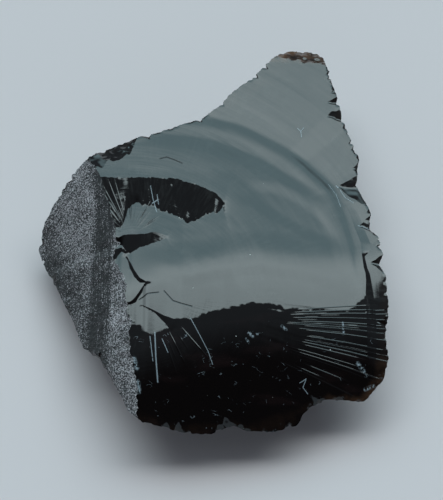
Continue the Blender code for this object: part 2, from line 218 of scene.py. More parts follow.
@dataclass
class GlossyFace:
    """The broad shell-shaped fracture face, in millimetres of the stone's plan."""

    ridge_height: float = 14.4
    side_fall: float = 0.115
    side_bow: float = 0.0008
    back_fall: float = 0.055
    back_range: tuple = (-9.5, -2.5)
    roll_slope: float = 0.62
    roll_length: float = 12.0
    roll_start: float = 0.4
    lip_slope: float = 0.085
    lip_range: tuple = (-9.0, -5.0)
    break_slope: float = 0.055
    tip_slope: float = 0.103
    # Ripples round the strike point: height, length, how often they vary round it, noise table,
    # and the distances over which they start.
    ripples: tuple = (
        (0.03, 3.6, 1.0, 5, 6.0, 12.0), (0.012, 1.5, 2.4, 6, 5.0, 9.0), (0.004, 0.6, 5.0, 7, 5.0, 9.0))
    ripple_turn: float = 34.0
    hackle_height: float = 0.012
    hackle_reach: tuple = (15.0, 19.0)
    shell_angle: tuple = (0.0, 10.0, 24.0, 32.0, 40.0, 47.0, 54.0, 63.0, 76.0, 95.0)
    shell_radius: tuple = (27.7, 27.8, 28.5, 28.9, 28.4, 28.2, 27.7, 27.2, 25.6, 22.8)
    crest_angle: tuple = (0.0, 8.0, 15.0, 26.0, 33.0, 42.0, 47.0, 64.0, 80.0)
    crest_rise: tuple = (0.0, 0.04, 0.08, 0.15, 0.2, 0.2, 0.18, 0.14, 0.1)
    crest_fall: tuple = (0.0, 0.05, 0.09, 0.09, 0.14, 0.11, 0.03, 0.008, 0.005)
    crest_outer: tuple = (0.8, 0.8, 0.8, 0.8, 1.15, 1.1, 0.6, 0.45, 0.45)
    crest_inner: float = 2.9
    # Line of each soft swell, the slope across it and its width.
    swells: tuple = (
        (((-8.4, 13.8), (-4.1, 13.4), (0.2, 12.5), (3.7, 11.5), (7.3, 9.5), (10.6, 7.7), (13.2, 5.9)),
         -0.06, 2.2),
        (((4.1, 7.5), (7.2, 7.3), (9.8, 6.1), (13.1, 3.4), (14.9, 0.5)), 0.04, 2.2),
        (((3.7, 5.3), (7.2, 3.0), (10.5, 1.0), (13.9, -0.4)), -0.035, 2.2),
        (((-10.0, -3.4), (-6.2, -2.9), (-2.7, -2.2), (1.1, -1.3), (4.5, -0.8), (13.0, -1.0), (15.6, -0.8)),
         -0.03, 3.8),
        (((-9.0, -4.4), (-4.0, -6.2), (0.2, -5.4), (4.5, -4.6), (8.7, -4.8), (12.9, -5.6), (14.7, -6.5)),
         0.022, 2.4),
        (((-16.0, 9.6), (-9.0, 10.2), (-3.0, 9.6), (0.0, 9.0)), 0.025, 4.5))
    crest_x: tuple = (-12.0, -7.5, -5.0, -2.0, 3.0, 8.0, 12.0, 16.0, 20.0)
    crest_y: tuple = (-15.0, -12.6, -11.7, -11.0, -9.7, -9.8, -9.9, -9.6, -8.8)
    break_x: tuple = (-12.5, -11.0, -10.2, -9.2, -8.5, -7.8, -6.9, -6.0, -5.3, -3.9, -2.6, -1.2, 1.9,
                      3.7, 6.0, 8.4, 12.0, 15.9, 16.9, 17.6, 18.2)
    break_y: tuple = (-12.2, -12.4, -12.7, -13.7, -14.2, -13.6, -13.0, -12.0, -11.5, -11.5, -10.9, -10.7,
                      -9.9, -9.3, -9.3, -9.9, -10.0, -9.6, -8.8, -8.0, -7.5)
    treads: tuple = (
        # The large dark step at the upper left.
        Tread(0.3,
              (-16.5, -13.7, -9.3, -6.0, -3.7, -1.8, -0.7, -0.1, 0.3, 0.6, 1.2, 2.5, 6.0),
              (7.5, 7.5, 7.8, 7.8, 7.3, 6.6, 5.8, 5.2, 4.7, 6.0, 8.0, 11.0, 13.0),
              (-16.5, -12.8, -12.4, -12.0, -11.4, -9.3, -7.7, -6.3, -5.6, -4.9, -4.3, -3.7, -3.1, -2.5, -1.3,
               -0.4, 0.2, 0.6, 1.2, 2.5, 6.0),
              (0.8, 0.8, 1.5, 3.2, 4.1, 4.2, 3.5, 3.2, 2.9, 2.3, 2.0, 2.1, 2.6, 2.9, 3.1, 3.5, 4.1, 2.4,
               0.0, -4.0, -8.0),
              (-16.5, -13.3, -12.5, -11.4, -9.0, -7.7, -6.0, -4.9, -3.7, -2.5, -1.3, -0.7, -0.1, 0.3, 0.7,
               1.2, 2.0, 3.0, 4.5, 6.0),
              (1.6, 1.45, 1.25, 1.02, 0.92, 1.02, 1.14, 1.22, 1.15, 0.9, 0.65, 0.5, 0.35, 0.23, 0.14,
               0.085, 0.045, 0.02, 0.005, 0.0)),
        # The small dark step under it.
        Tread(0.1,
              (-13.2, -12.3, -9.9, -8.5, -7.3, -6.9, -6.4, -5.4),
              (-0.65, -0.3, -0.15, 0.25, -0.05, -0.2, 0.7, 2.0),
              (-13.2, -12.6, -11.6, -10.6, -9.2, -7.7, -7.0, -6.4, -5.4),
              (-1.3, -1.7, -2.8, -2.0, -1.5, -0.85, -0.45, -1.6, -3.4),
              (-15.0, -12.6, -11.6, -10.6, -9.2, -8.2, -7.4, -6.9, -5.4),
              (0.5, 0.5, 0.6, 0.5, 0.36, 0.22, 0.1, 0.045, 0.0)),
        # A small dark crescent beside the rough face.
        Tread(0.06,
              (-14.1, -13.6, -12.7, -12.2), (-2.6, -2.1, -1.85, -2.4),
              (-14.1, -13.8, -13.5, -13.2, -12.7, -12.2), (-3.2, -3.8, -3.7, -2.9, -2.4, -2.7),
              (-15.0, -13.5, -12.9, -11.3), (0.34, 0.3, 0.22, 0.0)),
        # Three conchoidal cracks.
        Tread(0.05,
              (-12.3, -11.6, -11.0, -10.3, -9.4), (-2.9, -3.9, -5.15, -6.25, -6.8),
              (-12.3, -11.9, -11.6, -11.0, -10.3, -9.4), (-3.0, -3.6, -4.8, -6.05, -6.85, -6.95),
              (-12.6, -11.7, -11.0, -10.3, -9.4, -8.6), (0.0, 0.2, 0.24, 0.17, 0.06, 0.0)),
        Tread(0.05,
              (-11.9, -11.2, -10.7, -10.4, -10.0, -9.7), (-9.65, -9.2, -8.6, -8.15, -7.5, -7.1),
              (-11.9, -11.2, -10.7, -10.4, -10.0, -9.7), (-9.8, -9.65, -9.35, -8.75, -8.2, -7.3),
              (-12.4, -11.2, -10.7, -10.0, -9.3), (0.05, 0.12, 0.18, 0.14, 0.0)),
        Tread(0.05,
              (-9.9, -8.3, -7.1, -5.8), (-9.85, -10.65, -11.25, -11.6),
              (-9.9, -8.3, -7.1, -6.3, -5.8), (-9.95, -10.95, -12.1, -13.2, -12.7),
              (-10.4, -8.3, -7.1, -6.3, -5.0), (0.0, 0.05, 0.13, 0.16, 0.0)))

    def shell_waves(self, x: Array, y: Array, back: Array) -> Array:
        """Raised wave and soft ripples round the strike point, and the fall beyond them.

        Args:
            x: Plan x.
            y: Plan y.
            back: 1 behind the crest, 0 in front of it.

        Returns:
            Heights to add to the face.
        """
        reach, angle = round_strike(x, y)
        radius = np.interp(angle, self.shell_angle, self.shell_radius)
        past = reach - radius
        rise, fall, outer = (np.interp(angle, self.crest_angle, values) for values in (
            self.crest_rise, self.crest_fall, self.crest_outer))
        wave = rise * smooth(-self.crest_inner, -0.1, past) - fall * smooth(0.0, 1.0, past / outer)
        turn = (angle + 200.0) / self.ripple_turn
        broad, fine, finest = (
            height * noise(reach / length, turn * often, seed) * smooth(start, full, reach)
            for height, length, often, seed, start, full in self.ripples)
        tip = self.tip_slope * ease_in(-0.1, 0.7, past - outer)
        return back * (wave + broad * smooth(1.0, -1.0, past) + (fine + finest) + tip)

    def swelling(self, x: Array, y: Array) -> Array:
        """Soft swells of the face.

        Args:
            x: Plan x.
            y: Plan y.

        Returns:
            Heights to add to the face.
        """
        z = np.zeros(x.shape)
        for line, slope, width in self.swells:
            xs, ys = zip(*line)
            off = y - np.interp(x, xs, ys)
            fade = smooth(xs[0] - 2.0, xs[0] + 2.0, x) * smooth(xs[-1] + 1.5, xs[-1] - 2.0, x)
            z = z + slope * width / 1.5 * fade * smooth(-width / 2.0, width / 2.0, off)
        return z

    def hackles(self, x: Array, y: Array) -> Array:
        """Low radial ridges on the right of the front.

        Args:
            x: Plan x.
            y: Plan y.

        Returns:
            Heights to add to the face.
        """
        reach, angle = round_strike(x, y)
        zone = smooth(*self.hackle_reach, reach) * smooth(-24.0, -17.0, angle) * smooth(-2.0, -5.0, angle)
        return self.hackle_height * zone * noise(angle / 1.5 + 60.0, reach / 8.0, 43)

    def height(self, x: Array, y: Array) -> Array:
        """Height of the face.

        Args:
            x: Plan x.
            y: Plan y.

        Returns:
            Heights in millimetres.
        """
        dx = x - STRIKE[0]
        before = np.interp(x, self.crest_x, self.crest_y) - y
        z = self.ridge_height - self.side_fall * dx - self.side_bow * dx**2
        z = z - self.back_fall * ease_in(*self.back_range, y)
        ragged = layers(0.0, x, y, (0.2, 0.25, 1.6, 41), (0.2, 0.8, 2.4, 42))
        broken = np.interp(x, self.break_x, self.break_y) - y + ragged
        z = z - self.lip_slope * ease_in(*self.lip_range, before)
        z = z - self.break_slope * np.maximum(broken, 0.0)
        over = np.maximum(before - self.roll_start, 0.0)
        rolled = over - self.roll_length * (1.0 - np.exp(-over / self.roll_length))
        back = smooth(-1.0, 7.0, -before)
        z = z - self.roll_slope * rolled + self.shell_waves(x, y, back) + self.hackles(x, y)
        z = z + self.swelling(x, y)
        for tread in self.treads:
            z = z - tread.drop(x, y)
        return z


@dataclass
class RoughFace:
    """The rough face on the left, which falls away from the ridge."""

    glossy: GlossyFace
    fall: float = 0.78
    crease_fall: float = 0.16
    ridge_y: tuple = (-24.0, -20.3, -15.0, -5.6, -4.7, -3.0, -2.0, -1.2, 2.5, 4.8, 7.4, 10.4, 14.0)
    ridge_x: tuple = (
        -10.2, -10.6, -11.3, -12.3, -13.2, -13.9, -13.6, -12.9, -14.0, -14.8, -15.7, -17.0, -18.6)
    crease_y: tuple = (-20.0, -10.0, 5.0, 12.0)
    crease_x: tuple = (-13.2, -14.6, -18.2, -19.5)

    def height(self, x: Array, y: Array) -> Array:
        """Height of the face.

        Args:
            x: Plan x.
            y: Plan y.

        Returns:
            Heights in millimetres.
        """
        ridge = np.interp(y, self.ridge_y, self.ridge_x)
        crease = np.interp(y, self.crease_y, self.crease_x)
        crumbs = layers(0.0, x, y, (0.2, 0.7, 0.7, 15), (0.14, 0.33, 0.33, 16))
        z = self.glossy.height(ridge, y) - self.fall * (ridge - x + crumbs)
        z = z - self.crease_fall * np.maximum(crease - x, 0.0)
        return layers(z, x, y, (0.16, 3.0, 3.0, 11), (0.07, 1.3, 1.3, 12),
                      (0.05, 0.55, 0.55, 13), (0.02, 0.28, 0.28, 14))


def dipping(x: Array, y: Array, start: tuple, end: tuple, fall: float, hollow: float) -> Array:
    """Height of a plane through two points that falls to the left of their line.

    Args:
        x: Plan x.
        y: Plan y.
        start: First point, with its height.
        end: Second point, with its height.
        fall: Fall per millimetre to the left of the line.
        hollow: How far the plane is hollowed in the middle of the line.

    Returns:
        Heights in millimetres.
    """
    ax, ay, az = start
    bx, by, bz = end
    span = math.hypot(bx - ax, by - ay)
    ux = (bx - ax) / span
    uy = (by - ay) / span
    along = ((x - ax) * ux + (y - ay) * uy) / span
    outward = (y - ay) * ux - (x - ax) * uy
    return az + (bz - az) * along - fall * outward - 4.0 * hollow * along * (1.0 - along)


class Side(Enum):
    """Which side of the sharp edge a chip is in."""

    TOP = 1
    LOW = -1


def plane(a: tuple, b: tuple, c: tuple) -> tuple:
    """The plane through three points.

    Args:
        a: First point.
        b: Second point.
        c: Third point.

    Returns:
        Its slope in x, its slope in y, and its height at the origin.
    """
    nx, ny, nz = np.cross(np.subtract(b, a), np.subtract(c, a))
    if abs(nz) < LEAST_RISE:
        nz = LEAST_RISE
    return -nx / nz, -ny / nz, a[2] + (nx * a[0] + ny * a[1]) / nz


@dataclass(frozen=True)
class Chip:
    """A notch in the edge with two faces that meet in a line from the inner end to the rim."""

    x: float
    y: float
    reach: float
    side: Side
    faces: tuple

    @classmethod
    def of(cls, inner: tuple, first: tuple, deep: tuple, last: tuple, side: Side) -> "Chip":
        """Make one from its corners.

        Args:
            inner: Its inner end.
            first: One end at the rim.
            deep: Its deepest point, at the rim.
            last: The other end at the rim.
            side: The side of the edge it is in.

        Returns:
            The notch.
        """
        corners = np.array([inner, first, deep, last])
        x, y = corners[:, :2].mean(0)
        reach = 1.5 * np.hypot(corners[:, 0] - x, corners[:, 1] - y).max()
        faces = (plane(inner, first, deep), plane(inner, deep, last))
        return cls(float(x), float(y), float(reach), side, faces)

    def height(self, x: Array, y: Array) -> Array:
        """Height of the notch; out of the way where it doesn't reach.

        Args:
            x: Plan x.
            y: Plan y.

        Returns:
            Heights in millimetres.
        """
        sign = self.side.value
        (ax, ay, az), (bx, by, bz) = self.faces
        pick = np.maximum if sign > 0 else np.minimum
        z = pick(ax * x + ay * y + az, bx * x + by * y + bz)
        return np.where(np.hypot(x - self.x, y - self.y) < self.reach, z, sign * FAR)


# ---- the upper and lower sheet ------------------------------------------------------------------
@dataclass
class UpperSheet:
    """The glossy face, the rough face, the shelf and the flake scars of the top edge."""

    glossy: GlossyFace = field(default_factory=GlossyFace)
    scars: tuple = (
        ((7.0, 27.4), (14.6, 26.6), 28, 0.12), ((-15.9, 10.1), (-14.2, 10.6), 30, 0.25),
        ((-15.0, 10.4), (-12.6, 10.9), 20, 0.3), ((-13.4, 10.9), (-11.3, 12.7), 24, 0.28))
    shelf_y: tuple = (-19.0, -12.0, -8.5, -7.0, -5.3, -4.3, -3.5, -1.9, -1.2, 0.0, 2.0, 3.0, 4.3, 6.0)
    shelf_x: tuple = (
        18.4, 18.4, 18.35, 18.35, 18.45, 18.4, 18.2, 18.05, 18.0, 17.95, 17.3, 17.0, 16.6, 15.6)
    shelf_depth: tuple = (0.0, 0.31, 0.32, 0.3, 0.27, 0.26, 0.25, 0.22, 0.21, 0.2, 0.16, 0.12, 0.06, 0.0)
    shelf_width: tuple = (1.0, 1.25, 1.2, 1.0, 0.7, 0.6, 0.5, 0.35, 1.0, 1.3, 1.2, 1.2, 1.1, 1.0)

    def __post_init__(self) -> None:
        """Make the rough face against this glossy face."""
        self.rough = RoughFace(self.glossy)

    def on_face(self, point: tuple, depth: float = 0.0) -> tuple:
        """A plan point with its height on the glossy face, or a depth below it."""
        return point[0], point[1], at(self.glossy.height, *point) - depth

    def scar(self, x: Array, y: Array, start: tuple, end: tuple, dip: float, hollow: float) -> Array:
        """Height of a flake scar that falls from a line on the glossy face to the edge.

        Args:
            x: Plan x.
            y: Plan y.
            start: First plan point of the line.
            end: Last plan point of the line.
            dip: The scar's dip in degrees.
            hollow: How far it is hollowed in the middle.

        Returns:
            Heights in millimetres.
        """
        fall = math.tan(math.radians(dip))
        return dipping(x, y, self.on_face(start), self.on_face(end), fall, hollow)

    def shelf(self, x: Array, y: Array, face: Array) -> tuple:
        """The shelf on the right: a dark wall down to a lower strip of the same face.

        Args:
            x: Plan x.
            y: Plan y.
            face: Heights of the glossy face.

        Returns:
            Heights of the wall and of the strip, each out of the way where the other shows.
        """
        depth, width, line = (np.interp(y, self.shelf_y, values, 0.0) for values in (
            self.shelf_depth, self.shelf_width, self.shelf_x))
        wall = face - depth * np.maximum(x - line, 0.0) / width
        strip = face - depth
        beyond = x - line > width
        absent = (x < line) | (y < self.shelf_y[0]) | (y > self.shelf_y[-1])
        return np.where(beyond | absent, FAR, wall), np.where(~beyond | absent, FAR, strip)

    def survey(self, x: Array, y: Array, chips: list, near: Array) -> tuple:
        """Height of the sheet, and which of its faces is there.

        Args:
            x: Plan x.
            y: Plan y.
            chips: The chips of the edge.
            near: Which points are near enough to the edge for a chip.

        Returns:
            Heights, and face numbers: 0 glossy, 1 rough, 2 and 3 shelf, then the scars and the
            chips, and FIRST_TREAD and on for the leaning patches of the glossy face.
        """
        base = self.glossy.height(x, y)
        surfaces = [self.rough.height(x, y), *self.shelf(x, y, base)]
        ragged = warp(x, y, (0.3, 0.8, 23), (0.12, 0.25, 25))
        surfaces += [self.scar(*ragged, *values) for values in self.scars]
        z, face = lay(base, surfaces, chips, Side.TOP, x, y, near)
        for number, tread in enumerate(self.glossy.treads, FIRST_TREAD):
            face[(face == 0) & tread.covers(x, y)] = number
        return z, face

    def unchipped(self, x: Array, y: Array) -> Array:
        """Height of the sheet without its chips."""
        return self.survey(x, y, [], np.zeros(x.shape, bool))[0]


def lay(base: Array, surfaces: list, chips: list, side: Side, x: Array, y: Array, near: Array) -> tuple:
    """Cut a base surface with others and with the chips of one side.

    Args:
        base: Heights of the base surface.
        surfaces: Heights of the surfaces that cut it.
        chips: Chips of both sides.
        side: The side of the sheet.
        x: Plan x.
        y: Plan y.
        near: Which points are near enough to the edge for a chip.

    Returns:
        Heights, and the number of the surface at each point, 0 for the base.
    """
    z = base.copy()
    face = np.zeros(x.shape, int)
    sign = side.value
    for number, height in enumerate(surfaces, 1):
        cut = sign * height < sign * z
        z[cut] = height[cut]
        face[cut] = number
    near = np.nonzero(near)[0]
    if not chips or not len(near):
        return z, face
    wx, wy = warp(x[near], y[near], (0.14, 0.7, 21))
    for number, chip in enumerate([c for c in chips if c.side is side], len(surfaces) + 1):
        close = np.nonzero((np.abs(wx - chip.x) < chip.reach) & (np.abs(wy - chip.y) < chip.reach))[0]
        height = chip.height(wx[close], wy[close])
        where = near[close]
        cut = sign * height < sign * z[where]
        z[where[cut]] = height[cut]
        face[where[cut]] = number
    return z, face


@dataclass
class Edge:
    """The sharp edge all round: its outline in plan and its chips."""

    upper: UpperSheet
    rim: tuple = (
        (7.7, 28.0), (9.3, 29.0), (11.9, 29.4), (13.7, 28.5), (14.3, 26.7), (14.8, 24.3),
        (15.5, 21.8), (16.5, 17.5), (17.3, 15.0), (18.3, 12.6), (17.8, 9.2), (18.4, 6.9),
        (19.4, 4.8), (20.3, 1.2), (21.0, -2.0), (21.2, -5.9), (21.4, -9.7), (20.8, -12.0),
        (21.2, -15.0), (20.5, -17.6), (18.0, -20.4), (13.6, -20.4), (12.1, -20.8), (10.2, -22.3),
        (9.6, -23.5), (6.7, -24.3), (3.6, -24.4), (0.8, -24.0), (-1.2, -24.92), (-5.2, -24.84),
        (-9.8, -24.1), (-11.6, -22.5), (-14.2, -17.5), (-15.6, -15.1), (-17.7, -13.2),
        (-19.2, -9.2), (-21.5, -4.2), (-23.3, -0.8), (-24.4, 2.2), (-23.4, 4.8), (-21.2, 7.5),
        (-18.7, 9.7), (-16.5, 11.4), (-13.3, 13.1), (-9.1, 14.4), (-4.4, 16.6), (-2.8, 17.2),
        (-0.5, 19.2), (1.4, 21.6), (3.8, 23.6), (6.5, 26.7))
    # Inner end, first end, deepest point and last end of each larger notch, and its depth.
    placed: tuple = (
        ((15.0, 8.1), (18.4, 10.5), (18.8, 7.9), (19.2, 5.3), 0.5),
        ((17.5, 2.3), (19.9, 4.9), (20.3, 2.2), (20.5, 1.2), 0.6),
        ((19.2, -2.8), (20.9, -1.4), (21.2, -3.0), (21.3, -4.6), 0.45),
        ((13.8, 18.6), (16.8, 20.6), (17.2, 17.9), (17.4, 17.2), 0.7),
        ((13.9, 20.6), (16.0, 21.9), (16.2, 20.6), (16.3, 20.2), 0.5),
        ((17.1, 11.0), (18.7, 12.4), (18.8, 10.6), (18.6, 9.9), 0.5),
        ((16.3, 16.9), (17.4, 17.6), (17.6, 16.4), (17.7, 16.0), 0.35),
        ((19.6, -10.4), (21.6, -9.6), (21.5, -11.2), (21.3, -12.0), 0.4),
        ((-15.4, 8.9), (-17.6, 10.4), (-16.9, 10.9), (-16.0, 11.5), 0.45))
    # First and last rim point, share in the top, mean gap, smallest and largest half width.
    chipping: tuple = (
        (0, 3, 0.6, 0.5, 0.15, 0.5), (3, 14, 0.7, 0.55, 0.18, 0.75), (14, 20, 0.5, 0.6, 0.2, 0.8),
        (20, 31, 0.3, 0.6, 0.2, 0.9), (31, 42, 0.5, 0.45, 0.15, 0.5), (42, 51, 0.75, 0.75, 0.2, 0.75))
    # Least depth and inland length of a small chip for its half width, and how much more they can be.
    chip_depth: tuple = (0.35, 0.5)
    chip_inland: tuple = (0.6, 0.9)
    overshoot: float = 0.1
    low_rise: float = 0.85
    seed: int = 7

    def height(self, x: float, y: float) -> float:
        """Height of the unchipped upper sheet at one plan point."""
        return at(self.upper.unchipped, x, y)

    def placed_chip(self, inner: tuple, first: tuple, deep: tuple, last: tuple, depth: float) -> Chip:
        """A larger notch in the top of the edge.

        Args:
            inner: Plan point of its inner end.
            first: Plan point of its first end.
            deep: Plan point of its deepest point.
            last: Plan point of its last end.
            depth: Its depth.

        Returns:
            The notch.
        """
        corners = [(*point, self.height(*point)) for point in (inner, first, deep, last)]
        corners[2] = (*deep, corners[2][2] - depth)
        return Chip.of(*corners, Side.TOP)

    def small_chip(self, start: tuple, end: tuple, half: float, side: Side,
                   rng: np.random.Generator) -> Chip:
        """A small notch somewhere between two rim points.

        Args:
            start: First rim point.
            end: Second rim point, clockwise.
            half: Half of its width.
            side: The side of the edge it is in.
            rng: Random numbers.

        Returns:
            The notch.
        """
        share, inland, skew, lean, deep = rng.random(5)
        span = math.hypot(end[0] - start[0], end[1] - start[1])
        tx, ty = (end[0] - start[0]) / span, (end[1] - start[1]) / span
        x = start[0] + (end[0] - start[0]) * share
        y = start[1] + (end[1] - start[1]) * share
        z = self.height(x, y)
        depth = half * (self.chip_depth[0] + self.chip_depth[1] * deep)
        inland = half * (self.chip_inland[0] + self.chip_inland[1] * inland)
        out = -self.overshoot

        def corner(along: float, inward: float, rise: float) -> tuple:
            """A point beside the rim point; clockwise, the inside is to the right."""
            return x + tx * along + ty * inward, y + ty * along - tx * inward, z + rise

        inner = corner(half * (skew - 0.5), inland, -self.low_rise * inland)
        if side is Side.TOP:
            inner = (inner[0], inner[1], self.height(inner[0], inner[1]))
        return Chip.of(
            inner, corner(-half, out, 0.0), corner(half * (lean - 0.5), out, -side.value * depth),
            corner(half, out, 0.0), side)

    def chips(self) -> list:
        """The placed notches, and small ones scattered along the edge on either side of it.

        Returns:
            All notches of the stone.
        """
        chips = [self.placed_chip(*values) for values in self.placed]
        rng = np.random.default_rng(self.seed)
        count = len(self.rim)
        for first, last, top_share, gap, smallest, largest in self.chipping:
            for index in range(first, last):
                start = self.rim[index % count]
                end = self.rim[(index + 1) % count]
                for _ in range(rng.poisson(math.hypot(end[0] - start[0], end[1] - start[1]) / gap)):
                    half = smallest + (largest - smallest) * rng.random() ** 2
                    side = Side.TOP if rng.random() < top_share else Side.LOW
                    chips.append(self.small_chip(start, end, half, side, rng))
        return chips

    def distance(self, x: Array, y: Array) -> Array:
        """Distance to the edge in plan.

        Args:
            x: Plan x.
            y: Plan y.

        Returns:
            Distances in millimetres, positive inside the stone.
        """
        nearest = np.full(x.shape, FAR)
        inside = np.zeros(x.shape, bool)
        for (ax, ay), (bx, by) in zip(self.rim, self.rim[1:] + self.rim[:1]):
            ex, ey = bx - ax, by - ay
            along = np.clip(((x - ax) * ex + (y - ay) * ey) / (ex * ex + ey * ey), 0.0, 1.0)
            nearest = np.minimum(nearest, np.hypot(x - ax - along * ex, y - ay - along * ey))
            if ey != 0.0:
                inside ^= ((ay > y) != (by > y)) & (x < ex * (y - ay) / ey + ax)
        crumble = layers(0.05, x, y, (0.07, 0.5, 0.5, 31), (0.05, 0.25, 0.25, 32))
        return np.where(inside, nearest, -nearest) - crumble


@dataclass
class LowerSheet:
    """The flat face the stone rests on and the flake scars of the underside."""

    upper: UpperSheet
    edge: Edge
    feather: float = 0.3
    under_rim: float = 0.1
    bow: float = 0.006
    ripple: float = 0.08
    ripple_length: float = 2.1
    # First and last rim point, dip in degrees, hollowing.
    scars: tuple = (
        (0, 3, 34, 0.2), (3, 7, 40, 0.5), (7, 9, 42, 0.4), (9, 12, 41, 0.7), (12, 16, 40, 0.8),
        (16, 19, 38, 0.5), (19, 20, 36, 0.2), (20, 23, 42, 0.7), (23, 26, 42, 0.5),
        (26, 29, 45, 0.5), (29, 31, 46, 0.4), (31, 34, 52, 0.6), (34, 37, 50, 0.5),
        (37, 39, 42, 0.3), (39, 42, 58, 0.6), (42, 45, 60, 0.6), (45, 48, 50, 0.7),
        (48, 51, 44, 0.5))

    def rim_point(self, index: int) -> tuple:
        """A point of the sharp edge, just under the upper sheet."""
        x, y = self.edge.rim[index % len(self.edge.rim)]
        return x, y, at(self.upper.unchipped, x, y) - self.under_rim

    def scar(self, x: Array, y: Array, first: int, last: int, dip: float, hollow: float) -> Array:
        """Height of a scar that rises to the edge between two rim points.

        Args:
            x: Plan x.
            y: Plan y.
            first: Number of the first rim point.
            last: Number of the last rim point.
            dip: The scar's dip in degrees.
            hollow: How far it is hollowed.

        Returns:
            Heights in millimetres, with faint ripples round the middle of the scar's edge.
        """
        start = self.rim_point(first)
        end = self.rim_point(last)
        z = dipping(x, y, start, end, -math.tan(math.radians(dip)), -hollow)
        span = math.hypot(end[0] - start[0], end[1] - start[1])
        inward = (x - start[0]) * (end[1] - start[1]) - (y - start[1]) * (end[0] - start[0])
        inward = inward / span
        reach = np.hypot(x - (start[0] + end[0]) / 2.0, y - (start[1] + end[1]) / 2.0)
        wave = np.sin(2.0 * np.pi * (reach / self.ripple_length) ** 0.8)
        ripple = self.ripple * wave * smooth(0.8, 2.5, reach)
        return z - self.bow * inward * np.abs(inward) + ripple * smooth(16.0, 8.0, reach)

    def survey(self, x: Array, y: Array, chips: list, inward: Array) -> tuple:
        """Height of the sheet, and which of its faces is there.

        Args:
            x: Plan x.
            y: Plan y.
            chips: The chips of the edge.
            inward: Distance from the edge.

        Returns:
            Heights, and face numbers: 0 flat, then the scars and the chips.
        """
        surfaces = [self.scar(x, y, *values) for values in self.scars]
        z, face = lay(np.zeros(x.shape), surfaces, chips, Side.LOW, x, y, inward < CHIP_REACH)
        thinnest = self.upper.unchipped(x, y) - self.feather * np.maximum(inward, 0.0)
        return np.minimum(z, thinnest), face


# ---- meshing ------------------------------------------------------------------------------------
def edges_of(triangles: Array) -> Array:
    """Every triangle's three edges, each with its lower index first."""
    pairs = [triangles[:, [0, 1]], triangles[:, [1, 2]], triangles[:, [2, 0]]]
    return np.sort(np.concatenate(pairs), axis=1)


